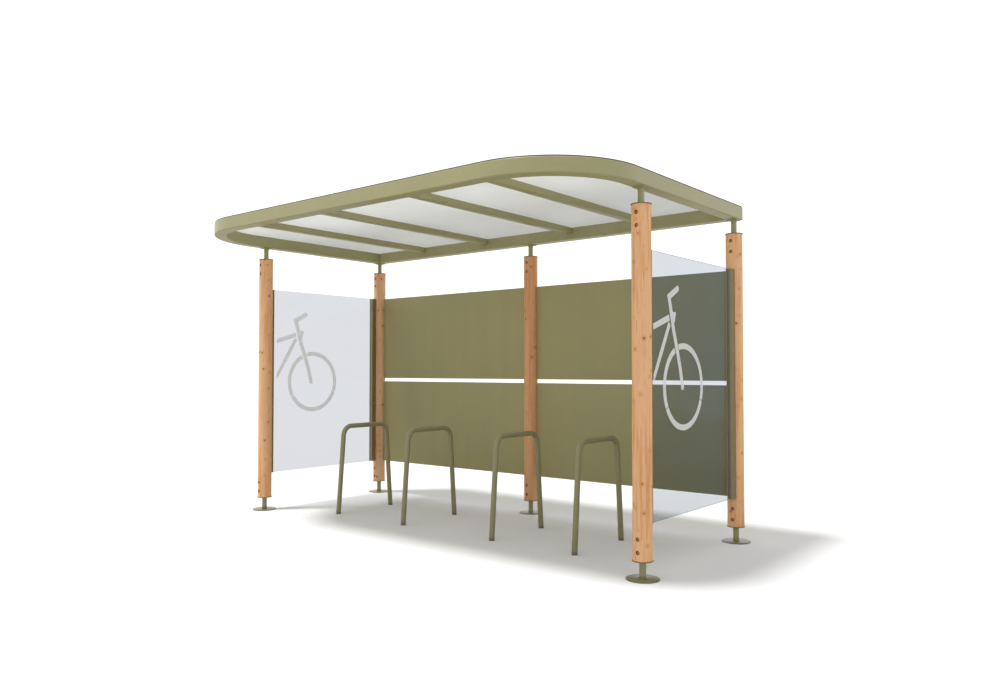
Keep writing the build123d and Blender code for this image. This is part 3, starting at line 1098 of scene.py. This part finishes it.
@dataclass
class SteelEnds:
    """The feet and heads: turned plates and tube with weld beads, and the square seat plate."""

    tube_radius: float = 0.0212
    foot_plate_radius: float = 0.105
    foot_plate: float = 0.008
    cap_radius: float = 0.067
    cap: float = 0.005
    arris: float = 0.0009
    arris_middle: float = 0.3     # a round arris's middle lies this share of it in from both faces
    seat_size: float = 0.080
    seat: float = 0.006
    seat_corner: float = 0.005
    weld: float = 0.0042
    weld_ripple: float = 0.0004
    weld_off_tube: float = 0.0012     # where the bead's middle lies
    weld_off_plate: float = 0.0008
    plate_points: int = 96
    tube_points: int = 64

    def disc(self, radius: float, base: float, thickness: float) -> Array:
        """A turned plate with softened arrises.

        Args:
            radius: the plate's radius.
            base: height of its underside.
            thickness: its thickness.

        Returns:
            Rings, shape (6, plate_points, 3).
        """
        edge, part, top = self.arris, self.arris_middle * self.arris, base + thickness
        return lathe([
            (radius - edge, base), (radius - part, base + part), (radius, base + edge),
            (radius, top - edge), (radius - part, top - part), (radius - edge, top),
        ], self.plate_points)

    def bead(self, level: float) -> Array:
        """A rippled weld bead round the tube."""
        return torus(self.tube_radius + self.weld_off_tube, self.weld, level, self.weld_ripple)

    def tube(self, base: float, top: float) -> Array:
        """The bare tube between two levels."""
        return lathe([(self.tube_radius, base), (self.tube_radius, top)], self.tube_points)

    def foot(self, post: str, coat: Material, shaded_cap_coat: Material) -> None:
        """Makes the ground plate, tube, cap and two weld beads.

        Args:
            post: which post.
            coat: the plate's and tube's finish.
            shaded_cap_coat: the cap's finish.
        """
        axis = post_axis(post)
        cap_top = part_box(f"timber_post_{post}")[0].z
        cap_base = cap_top - self.cap
        made = Surface()
        made.loft(placed(self.disc(self.foot_plate_radius, 0.0, self.foot_plate), axis))
        made.loft(placed(self.tube(self.foot_plate, cap_base), axis), False)
        for level in (self.foot_plate + self.weld_off_plate, cap_base - self.weld_off_plate):
            made.loft(placed(self.bead(level), axis), looped=True)
        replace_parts(made.piece(f"welded_foot_{post}", coat, Slot.STEEL), f"foot_{post}")
        cap = Surface().loft(placed(self.disc(self.cap_radius, cap_base, self.cap), axis))
        cap.piece(f"foot_cap_{post}", shaded_cap_coat, Slot.STEEL)

    def head(self, post: str, coat: Material, shaded_cap_coat: Material) -> None:
        """Makes the cap, tube, seat plate and two weld beads.

        Args:
            post: which post.
            coat: the tube's and seat plate's finish.
            shaded_cap_coat: the cap's finish.
        """
        axis = post_axis(post)
        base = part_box(f"timber_post_{post}")[1].z
        seat_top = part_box(f"head_{post}")[1].z
        seat_base = seat_top - self.seat
        made = Surface()
        made.loft(placed(self.tube(base + self.cap, seat_base), axis), False)
        plate = slab(self.seat_size, self.seat_size, self.seat, self.seat_corner, self.arris)
        made.loft(placed(plate, (axis.x, axis.y, (seat_base + seat_top) / 2)))
        for level in (base + self.cap + self.weld_off_plate, seat_base - self.weld_off_plate):
            made.loft(placed(self.bead(level), axis), looped=True)
        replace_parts(made.piece(f"welded_head_{post}", coat, Slot.STEEL), f"head_{post}")
        cap = Surface().loft(placed(self.disc(self.cap_radius, base, self.cap), axis))
        cap.piece(f"head_cap_{post}", shaded_cap_coat, Slot.STEEL)

    def build(self, coat: Material, shaded_cap_coat: Material) -> None:
        """Makes every post's foot and head.

        Args:
            coat: the finish of all but the caps.
            shaded_cap_coat: the caps' finish.
        """
        for post in POSTS:
            self.foot(post, coat, shaded_cap_coat)
            self.head(post, coat, shaded_cap_coat)


@dataclass
class RoofKit:
    """The welded roof frame, the opal sheet on it, the sheet's rubber edge and its screws."""

    sheet: float = 0.0040
    sheet_inset: float = 0.003
    back_corner: float = 0.004
    per_corner: int = 40
    arris: float = 0.0006
    edge_rise: float = 0.0058
    edge_width: float = 0.012
    edge_lip: float = 0.0015
    screw_pitch: float = 0.30
    rafter_margin: float = 0.09                              # from a rafter's end to a screw
    side_margins: tuple[float, float] = (0.05, 0.15)         # at a side beam's front and back
    front_margin: float = 0.02
    back_margin: float = 0.06
    corner_inset: float = 0.05                               # from the corner beam's outer face
    corner_turns: tuple[float, ...] = (22.5, 45.0, 67.5)     # degrees round the corner
    screw_radius: float = 0.0065
    screw_edge: float = 0.0004
    screw_rise: float = 0.0018
    dome_share: float = 0.93      # of a quarter turn, after which a small flat closes the dome
    dome_rings: int = 6
    washer_profile: Line = (      # beyond the screw's radius, and level
        (0.0022, -0.0004), (0.0022, 0.0004), (0.0012, 0.0008), (-0.001, 0.0008),
    )
    sides: tuple[str, ...] = ("left_side_beam", "right_side_beam")
    rafters: tuple[str, ...] = ("rafter_1", "rafter_2", "rafter_3", "rafter_4")

    def outline(self) -> Array:
        """The sheet's outline: a rectangle whose two front corners are large quarter circles.

        Their radius comes from the corner beam's box, less the sheet's inset. Each corner's
        quarter circle is the last one's, turned by a quarter turn.

        Returns:
            Points, anticlockwise, shape (4 * per_corner, 2).
        """
        low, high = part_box("roof_sheet")
        corner_low, corner_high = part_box("right_corner_beam")
        radius = (corner_high.x - corner_low.x) - self.sheet_inset
        small = self.back_corner
        t = np.linspace(0.0, pi / 2, self.per_corner)
        quarter = np.stack([np.cos(t), np.sin(t)], -1)
        turn = np.array([[0.0, 1.0], [-1.0, 0.0]])
        centres = (
            (high.x - small, high.y - small, small), (low.x + small, high.y - small, small),
            (low.x + radius, low.y + radius, radius), (high.x - radius, low.y + radius, radius),
        )
        bends = []
        for x, y, bend in centres:
            bends.append(np.array([x, y]) + bend * quarter)
            quarter = quarter @ turn
        return np.concatenate(bends)

    def drawn_in(self, distance: float) -> Array:
        """The sheet's outline, drawn in towards its centre.

        Each point keeps its share of the way from the centre to the edge, along X and along Y.

        Args:
            distance: how far the straight sides move in.

        Returns:
            Points, shape (4 * per_corner, 2).
        """
        outline = self.outline()
        low, high = outline.min(0), outline.max(0)
        centre, half = (low + high) / 2, (high - low) / 2
        return centre + (outline - centre) * (half - distance) / half

    def build_edge(self, rubber: Material) -> None:
        """Makes the rubber profile that closes the sheet's edge all the way round.

        Its section is a rectangle with eased upper arrises, carried round the outline.

        Args:
            rubber: the profile's finish.
        """
        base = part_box("roof_sheet")[0].z
        top, a, w = base + self.edge_rise, self.arris, self.edge_width
        section = ((0.0, base), (0.0, top - a), (a, top), (w - a, top), (w, top - a), (w, base))
        rings = stacked([self.drawn_in(cut) for cut, _ in section], [z for _, z in section])
        Surface().loft(rings, looped=True).piece("sheet_edge_profile", rubber, Slot.SHEET)

    def build_sheet(self, finish: Material) -> None:
        """Makes the sheet, its arrises softened by drawing the outline in towards its centre.

        Args:
            finish: the sheet's finish.
        """
        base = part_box("roof_sheet")[0].z
        outline, drawn_in = self.drawn_in(self.edge_lip), self.drawn_in(self.edge_lip + self.arris)
        rings = stacked(
            [drawn_in, outline, outline, drawn_in],
            [base, base + self.arris, base + self.sheet - self.arris, base + self.sheet],
        )
        made = Surface().loft(rings).piece("opal_roof_sheet", finish, Slot.SHEET)
        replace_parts(made, "roof_sheet")

    def screw_places(self) -> Array:
        """Where the screws stand: evenly spaced along the rafters and every beam.

        On a front corner they stand on an arc about the corner beam's centre.

        Returns:
            Points, shape (n, 2).
        """
        spots = []
        margins = {
            **dict.fromkeys(self.rafters, (self.rafter_margin, self.rafter_margin)),
            **dict.fromkeys(self.sides, self.side_margins),
        }
        for name, (front, back) in margins.items():
            low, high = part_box(name)
            start, end = low.y + front, high.y - back
            y = np.linspace(start, end, max(2, round((end - start) / self.screw_pitch) + 1))
            spots.append(np.column_stack([np.full(len(y), (low.x + high.x) / 2), y]))
        for name, margin in (("front_beam", self.front_margin), ("back_beam", self.back_margin)):
            low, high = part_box(name)
            reach = high.x - margin
            x = np.linspace(-reach, reach, round(2 * reach / self.screw_pitch) + 1)
            spots.append(np.column_stack([x, np.full(len(x), (low.y + high.y) / 2)]))
        corner_low, corner_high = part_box("right_corner_beam")
        radius = corner_high.x - corner_low.x - self.corner_inset
        t = np.radians(self.corner_turns)
        x, y = corner_low.x + radius * np.sin(t), corner_high.y - radius * np.cos(t)
        spots += [np.column_stack([x, y]), np.column_stack([-x, y])]
        return np.concatenate(spots)

    def build_screws(self, metal: Material, rubber: Material) -> None:
        """Makes low domed screws on rubber washers, joined into one piece of each material.

        At turn t of the dome the radius falls as cos t and the height grows as sin t.

        Args:
            metal: the screws' finish.
            rubber: the washers' finish.
        """
        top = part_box("roof_sheet")[0].z + self.sheet
        r, edge, rise = self.screw_radius, self.screw_edge, self.screw_rise
        turns = np.linspace(0.0, pi / 2 * self.dome_share, self.dome_rings)
        dome = lathe([(r * cos(t), edge + (rise - edge) * sin(t)) for t in turns], count=20)
        ring = lathe([(r + beyond, level) for beyond, level in self.washer_profile], count=24)
        domes, rings = Surface(), Surface()
        for x, y in self.screw_places():
            domes.loft(placed(dome, (x, y, top)))
            rings.loft(placed(ring, (x, y, top)))
        domes.piece("roof_screws", metal, Slot.STEEL)
        rings.piece("roof_screw_washers", rubber, Slot.STEEL)

    def build(
        self, coat: Material, opal: Material, metal: Material, edging: Material, rubber: Material,
    ) -> None:
        """Coats the frame and makes the sheet, its edge and its screws.

        Args:
            coat: the beams' and rafters' finish.
            opal: the sheet's finish.
            metal: the screws' finish.
            edging: the edge profile's finish.
            rubber: the washers' finish.
        """
        ends = ("front_beam", "back_beam", "left_corner_beam", "right_corner_beam")
        for name in (*ends, *self.sides, *self.rafters):
            dress(name, coat)
        self.build_sheet(opal)
        self.build_edge(edging)
        self.build_screws(metal, rubber)


@dataclass
class BicycleFigure:
    """A plain road-sign style figure of a bicycle's front half: ring wheel, fork, bars and the
    main tubes. Points are (y, z) in metres in the pane's plane, y to the back and z up."""

    wheel: tuple[float, float] = (0.185, 1.189)
    wheel_radius: float = 0.295
    ring_width: float = 0.040
    ring_arcs: Line = ((-149.7, -21.1), (-19.9, 105.6), (117.4, 209.1))   # from and to, degrees
    ring_step: float = 3.0                                                # degrees
    bar_width: float = 0.042
    fork: Line = (
        (0.167, 1.186), (0.136, 1.305), (0.097, 1.420), (0.041, 1.568), (0.000, 1.718),
        (-0.022, 1.785), (0.099, 1.847),
    )
    end_share: float = 0.98       # of a quarter turn, where a round end starts
    end_points: int = 8
    tubes: tuple[tuple[Line, Line], ...] = (    # the head, top and down tube, each by its edges
        (((0.0306, 1.688), (0.0505, 1.615)), ((0.078, 1.688), (0.059, 1.619))),
        (((-0.012, 1.628), (-0.236, 1.559)), ((-0.023, 1.668), (-0.240, 1.598))),
        (
            ((-0.001, 1.598), (-0.103, 1.425), (-0.236, 1.212)),
            ((-0.029, 1.621), (-0.148, 1.425), (-0.236, 1.272)),
        ),
    )
    lift: float = 0.0002          # off the glass

    def ring_arc(self, start: float, end: float) -> tuple[Array, Array]:
        """The ring's inner and outer edges between two angles.

        Args:
            start: first angle, in degrees from +y towards +z.
            end: last angle.

        Returns:
            The inner edge and the outer edge, of as many points each.
        """
        t = np.radians(np.linspace(start, end, int(abs(end - start) / self.ring_step)))
        unit = np.stack([np.cos(t), np.sin(t)], -1)
        middle, inner = np.array(self.wheel), self.wheel_radius - self.ring_width
        return middle + unit * inner, middle + unit * self.wheel_radius

    def stroke(self) -> tuple[Array, Array]:
        """The fork, steerer and handlebar as one mitred band with round ends.

        At a corner between directions with normals p and q, both edges stand off the path by
        half the width times (p + q) / (1 + p . q). A round end runs the path on by r sin t while
        the half width falls as r cos t.

        Returns:
            The left and right edges.
        """
        path, radius = np.array(self.fork), self.bar_width / 2
        along = np.diff(path, axis=0)
        along /= np.linalg.norm(along, axis=1)[:, None]
        normal = np.stack([-along[:, 1], along[:, 0]], -1)
        before = np.concatenate([normal[:1], normal])
        after = np.concatenate([normal, normal[-1:]])
        stand_off = (before + after) / (1 + np.sum(before * after, axis=1))[:, None] * radius
        t = np.linspace(pi / 2 * self.end_share, 0.0, self.end_points)[:-1, None]
        start = path[0] - along[0] * radius * np.sin(t)
        end = (path[-1] + along[-1] * radius * np.sin(t))[::-1]
        centre = np.concatenate([start, path, end])
        first, last = normal[0] * radius * np.cos(t), normal[-1] * radius * np.cos(t)
        reach = np.concatenate([first, stand_off, last[::-1]])
        return centre + reach, centre - reach

    def bands(self) -> list[tuple[Array, Array]]:
        """Every band of the figure.

        Returns:
            Each band's left and right edges.
        """
        arcs = [self.ring_arc(*ends) for ends in self.ring_arcs]
        return [*arcs, self.stroke(), *((np.array(a), np.array(b)) for a, b in self.tubes)]

    def build(self, side: Side, finish: Material) -> None:
        """Lays the film on the +X face of one end's pane.

        Args:
            side: the end that takes it.
            finish: the film.
        """
        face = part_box(f"{side.value}_glass_pane")[1].x + self.lift
        made = Surface()
        for edges in self.bands():
            made.strip(*(np.column_stack([np.full(len(edge), face), edge]) for edge in edges))
        made.piece(f"{side.value}_bicycle_figure", finish, Slot.GLASS)


@dataclass
class GlassScreens:
    """The glass ends: polished panes with a figure of film on them, bedded in grooved channels,
    and the channels' screws."""

    arris: float = 0.0010
    channel_web: float = 0.005
    packing_recess: float = 0.001
    packing_gap: float = 0.002                               # the packing is this much shorter
    packing_edge: tuple[float, float] = (0.0012, 0.0006)     # its corners and its arrises
    lip: float = 0.0016
    lip_gap: float = 0.001                                   # shorter and narrower by this
    lip_edge: tuple[float, float] = (0.0007, 0.0005)
    screw_radius: float = 0.0055
    screw_head: tuple[float, ...] = (0.0008, 0.0020, 0.0027, 0.0019)    # as pan_head takes it
    screw_levels: tuple[float, ...] = (0.15, 0.62, 1.11, 1.58)

    def pane(self, side: Side, finish: Material) -> None:
        """Makes a slab with polished arrises in place of the plain pane.

        Args:
            side: which end.
            finish: the glass.
        """
        low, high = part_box(f"{side.value}_glass_pane")
        size, middle = high - low, (low + high) / 2
        rings = slab(size.y, size.z, size.x, 2 * self.arris, self.arris)
        made = Surface().loft(placed(rings, middle, "+X"))
        polished = made.piece(f"{side.value}_polished_pane", finish, Slot.GLASS)
        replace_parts(polished, f"{side.value}_glass_pane")

    def packings(self, side: Side, rubber: Material) -> None:
        """Makes the rubber that beds the pane: it fills each groove from cheek to cheek, and a
        thin lip of it covers the edges of both cheeks.

        Args:
            side: which end.
            rubber: its finish.
        """
        made = Surface()
        for row, sign in (("front", -1.0), ("back", 1.0)):
            low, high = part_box(f"{side.value}_{row}_glass_channel")
            width, height = high.x - low.x, high.z - low.z
            x, z = (low.x + high.x) / 2, (low.z + high.z) / 2
            mouth = high.y if row == "front" else low.y
            depth = high.y - low.y - self.channel_web - self.packing_recess
            y = mouth + sign * (self.packing_recess + depth / 2)
            groove = width - 2 * self.channel_web
            packing = slab(groove, depth, height - self.packing_gap, *self.packing_edge)
            made.loft(placed(packing, (x, y, z)))
            cover = slab(width - self.lip_gap, self.lip, height - self.lip_gap, *self.lip_edge)
            made.loft(placed(cover, (x, mouth - sign * self.lip / 2, z)))
        made.piece(f"{side.value}_glazing_rubber", rubber, Slot.CHANNEL)

    def screws(self, side: Side, metal: Material) -> None:
        """Makes pan-head screws through the channels' inner and outer cheeks.

        Args:
            side: which end.
            metal: their finish.
        """
        made = Surface()
        head = pan_head(self.screw_radius, self.screw_head)
        for row in ("front", "back"):
            low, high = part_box(f"{side.value}_{row}_glass_channel")
            y = (low.y + high.y) / 2
            for level in self.screw_levels:
                made.loft(placed(head, (high.x, y, low.z + level), "+X"))
                made.loft(placed(head, (low.x, y, low.z + level), "-X"))
        made.piece(f"{side.value}_channel_screws", metal, Slot.CHANNEL)

    def build(
        self, glass: Material, film: Material, coat: Material, rubber: Material, metal: Material,
    ) -> None:
        """Makes both ends.

        Args:
            glass: the panes' finish.
            film: the figure's finish.
            coat: the channels' finish.
            rubber: the packing's finish.
            metal: the screws' finish.
        """
        for side in Side:
            self.pane(side, glass)
            BicycleFigure().build(side, film)
            for row in ("front", "back"):
                dress(f"{side.value}_{row}_glass_channel", coat)
            self.packings(side, rubber)
            self.screws(side, metal)


@dataclass
class WallScreen:
    """The back wall: laminate panels with eased edges, fixed from behind to capped square tubes
    that leave the slot between the panels open."""

    arris: float = 0.0010
    tube_corner: float = 0.0030
    tube_recess: float = 0.0040
    screw_radius: float = 0.0060
    screw_head: tuple[float, ...] = (0.0010, 0.0024, 0.0032, 0.0022)    # as pan_head takes it
    screw_margin: float = 0.07
    screws_to_an_end: int = 4
    panels: tuple[str, ...] = ("lower_left", "upper_left", "lower_right", "upper_right")
    uprights: tuple[str, ...] = (
        "left_wall_left_upright", "left_wall_right_upright", "right_wall_left_upright",
        "right_wall_right_upright",
    )

    def build(self, laminate: Material, coat: Material, metal: Material) -> None:
        """Makes the panels, the uprights and the screws.

        Args:
            laminate: the panels' finish.
            coat: the uprights' finish.
            metal: the screws' finish.
        """
        for name in self.panels:
            low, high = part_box(f"{name}_wall_panel")
            size, middle = high - low, (low + high) / 2
            rings = slab(size.x, size.z, size.y, 2 * self.arris, self.arris)
            made = Surface().loft(placed(rings, middle, "+Y"))
            board = made.piece(f"{name}_laminate_board", laminate, Slot.LAMINATE)
            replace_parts(board, f"{name}_wall_panel")
        for name in self.uprights:
            self.tubes(name, coat)
        self.screws(metal)

    def tubes(self, name: str, coat: Material) -> None:
        """Makes an upright as two tubes with closed ends, one behind each row of panels.

        Args:
            name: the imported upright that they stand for.
            coat: their finish.
        """
        low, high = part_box(name)
        slot_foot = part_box("lower_left_wall_panel")[1].z - self.tube_recess
        slot_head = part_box("upper_left_wall_panel")[0].z + self.tube_recess
        x, y = (low.x + high.x) / 2, (low.y + high.y) / 2
        size_x, size_y = high.x - low.x, high.y - low.y
        made = Surface()
        for foot, head in ((low.z, slot_foot), (slot_head, high.z)):
            rings = slab(size_x, size_y, head - foot, self.tube_corner, self.arris)
            made.loft(placed(rings, (x, y, (foot + head) / 2)))
        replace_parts(made.piece(f"{name}_tubes", coat, Slot.STEEL), name)

    def screws(self, metal: Material) -> None:
        """Makes pan-head screws through the uprights into the panels, four to a panel's end.

        Args:
            metal: their finish.
        """
        made = Surface()
        head = pan_head(self.screw_radius, self.screw_head)
        rows = [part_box(f"{row}_left_wall_panel") for row in ("lower", "upper")]
        for name in self.uprights:
            low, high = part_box(name)
            x = (low.x + high.x) / 2
            for row_low, row_high in rows:
                foot, top = row_low.z + self.screw_margin, row_high.z - self.screw_margin
                for level in np.linspace(foot, top, self.screws_to_an_end):
                    made.loft(placed(head, (x, high.y, level), "+Y"))
        made.piece("wall_screws", metal, Slot.STEEL)


@dataclass
class HoopRacks:
    """The bent tube hoops that bicycles lean on."""

    tube_radius: float = 0.0212
    tube_points: int = 32
    top_spread: float = 0.514
    bend_radius: float = 0.090
    count: int = 4

    def build(self, finish: Material) -> None:
        """Makes each hoop as one smooth bent tube, its feet cut level with the ground.

        Args:
            finish: the hoops' finish.
        """
        for number in range(1, self.count + 1):
            low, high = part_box(f"hoop_rack_{number}")
            x, y = (low.x + high.x) / 2, (low.y + high.y) / 2
            axis_top = high.z - self.tube_radius
            foot_half = (high.y - low.y) / 2 - self.tube_radius
            corners = np.array([
                (x, y - foot_half, 0.0), (x, y - self.top_spread / 2, axis_top),
                (x, y + self.top_spread / 2, axis_top), (x, y + foot_half, 0.0),
            ])
            path = smooth_path(corners, self.bend_radius)
            rings = tube_along(path, self.tube_radius, self.tube_points)
            rings[0, :, 2] = 0.0
            rings[-1, :, 2] = 0.0
            made = Surface().loft(rings).piece(f"bent_hoop_{number}", finish, Slot.STEEL)
            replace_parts(made, f"hoop_rack_{number}")


# ---- studio -----------------------------------------------------------------------------------

@dataclass
class Studio:
    """A pale floor, an even white surround, one high soft sun and the camera."""

    camera_place: tuple[float, float, float] = (4.498, -4.816, 1.299)
    camera_turn: float = 39.302    # degrees from +Y towards -X
    camera_rise: float = 1.458     # degrees above level
    lens_mm: float = 28.91
    sensor_mm: float = 36.0
    sight: float = 200.0           # the camera sees this far
    sun_travel: tuple[float, float, float] = (0.55, 0.67, -2.50)
    sun_strength: float = 2.30
    sun_spread: float = 9.0        # degrees
    sky_strength: float = 0.74
    white: float = 1.26            # the surround in sight and in mirrors, level with the lit floor
    floor_size: float = 60.0
    floor_colour: str = "#F2F2F2"
    floor_bounce: str = "#BEBCB4"  # what the floor throws back on the shelter's underside
    tooth_mm: float = 6.0

    def camera(self) -> None:
        """Stands the camera."""
        data = bpy.data.cameras.new("camera")
        data.lens = self.lens_mm
        data.sensor_width = self.sensor_mm
        data.clip_end = self.sight
        eye = bpy.data.objects.new("camera", data)
        eye.location = self.camera_place
        eye.rotation_euler = Euler((radians(90 + self.camera_rise), 0.0, radians(self.camera_turn)))
        bpy.context.scene.collection.objects.link(eye)
        bpy.context.scene.camera = eye

    def sun(self) -> None:
        """Hangs the sun."""
        data = bpy.data.lights.new("sun", "SUN")
        data.energy = self.sun_strength
        data.angle = radians(self.sun_spread)
        lamp = bpy.data.objects.new("sun", data)
        lamp.rotation_euler = Vector(self.sun_travel).to_track_quat("-Z", "Y").to_euler()
        bpy.context.scene.collection.objects.link(lamp)

    def surround(self) -> None:
        """Makes it white to the eye and in reflections, and an even soft light on all else."""
        world = bpy.data.worlds.new("surround")
        bpy.context.scene.world = world
        world.use_nodes = True
        tree = world.node_tree
        tree.nodes.clear()
        rays = node(tree, Kind.RAYS).outputs
        greater = {"operation": "MAXIMUM"}
        seen = node(
            tree, Kind.MATHS, greater, in_0=rays["Is Camera Ray"], in_1=rays["Is Transmission Ray"],
        )
        shown = node(tree, Kind.MATHS, greater, in_0=seen, in_1=rays["Is Glossy Ray"])
        strength = node(tree, Kind.RANGE, Value=shown, To_Min=self.sky_strength, To_Max=self.white)
        sky = node(tree, Kind.BACKGROUND, Color=grey(1.0), Strength=strength)
        node(tree, Kind.WORLD_OUTPUT, {"is_active_output": True}, Surface=sky)

    def floor(self) -> None:
        """Lays the floor, a pale matt paint with a touch of tooth, which keeps the shadow."""
        half = self.floor_size / 2
        mesh = bpy.data.meshes.new("floor")
        square = [(-half, -half, 0.0), (half, -half, 0.0), (half, half, 0.0), (-half, half, 0.0)]
        mesh.from_pydata(square, [], [(0, 1, 2, 3)])
        ground = bpy.data.objects.new("floor", mesh)
        bpy.context.scene.collection.objects.link(ground)
        material, tree, where, surface = fresh("pale_floor_paint")
        tooth = node(tree, Kind.NOISE, Vector=where, Scale=per_metre(self.tooth_mm), Detail=3.0)
        tone = node(tree, Kind.RAMP, stops=[(0.3, grey(0.985)), (0.7, grey(1.0))], Fac=tooth)
        seen = node(tree, Kind.RAYS).outputs["Is Camera Ray"]
        shade = node(
            tree, Kind.BLEND, MIX, in_0=seen, in_6=self.floor_bounce, in_7=self.floor_colour,
        )
        colour = node(tree, Kind.BLEND, TIMES, in_0=1.0, in_6=shade, in_7=tone)
        paint = node(tree, Kind.DIFFUSE, Color=colour)
        tree.links.new(paint.outputs[0], surface)
        mesh.materials.append(material)

    def build(self) -> None:
        """Sets up the whole studio."""
        bpy.context.scene.view_settings.view_transform = "Standard"
        self.camera()
        self.sun()
        self.surround()
        self.floor()
        log.info("studio: ready")


def corners(box: tuple[Vector, Vector]) -> list[list[float]]:
    """A box's two corners as plain lists."""
    return [list(corner) for corner in box]


def main() -> None:
    logging.basicConfig(level=logging.INFO, format="%(name)s: %(message)s")
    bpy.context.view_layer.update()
    Studio().build()
    coat = OlivePowderCoat("olive_powder_coat", "#A3A073", "#B1AD89").material()
    # The caps take the olive coat darkened as painted shade, for the shade under their overhang
    shaded_cap_coat = OlivePowderCoat("olive_cap_coat_painted_shade", "#7F7658", "#8F876A").material()
    # The hoops take the olive coat in a darker tone: painted shade
    shaded_hoop_coat = OlivePowderCoat("olive_hoop_coat_painted_shade", "#938F69", "#A09C7A").material()
    # The channels take a darker, browner olive than the frame as painted shade; their lower sheen
    # is the coat's own
    shaded_dull_coat = OlivePowderCoat("olive_channel_coat_painted_shade", "#84744B", "#938561", sheen=0.18)
    shaded_channel_coat = shaded_dull_coat.material()
    steel = StainlessSteel().material()
    black_rubber = SealRubber("black_rubber", "#2E302C", "#6A6C66").material()
    grey_rubber = SealRubber("dark_grey_rubber", "#66665A", "#7C7C72").material()
    # The glazing rubber is made paler to make up for the shade in the grooves: painted light
    lit_stone_rubber = SealRubber("stone_grey_rubber_painted_light", "#A19679", "#AAA083").material()
    TimberPosts().build()
    PostBolts().build(BrownedSteel().material(), DrilledEndGrain().material())
    SteelEnds().build(coat, shaded_cap_coat)
    RoofKit().build(coat, OpalSheet().material(), steel, grey_rubber, black_rubber)
    glass, film = ToughenedGlass().material(), WhiteVinylFilm().material()
    GlassScreens().build(glass, film, shaded_channel_coat, lit_stone_rubber, steel)
    WallScreen().build(CompactLaminate().material(), coat, steel)
    HoopRacks().build(shaded_hoop_coat)


if __name__ == "__main__":
    main()
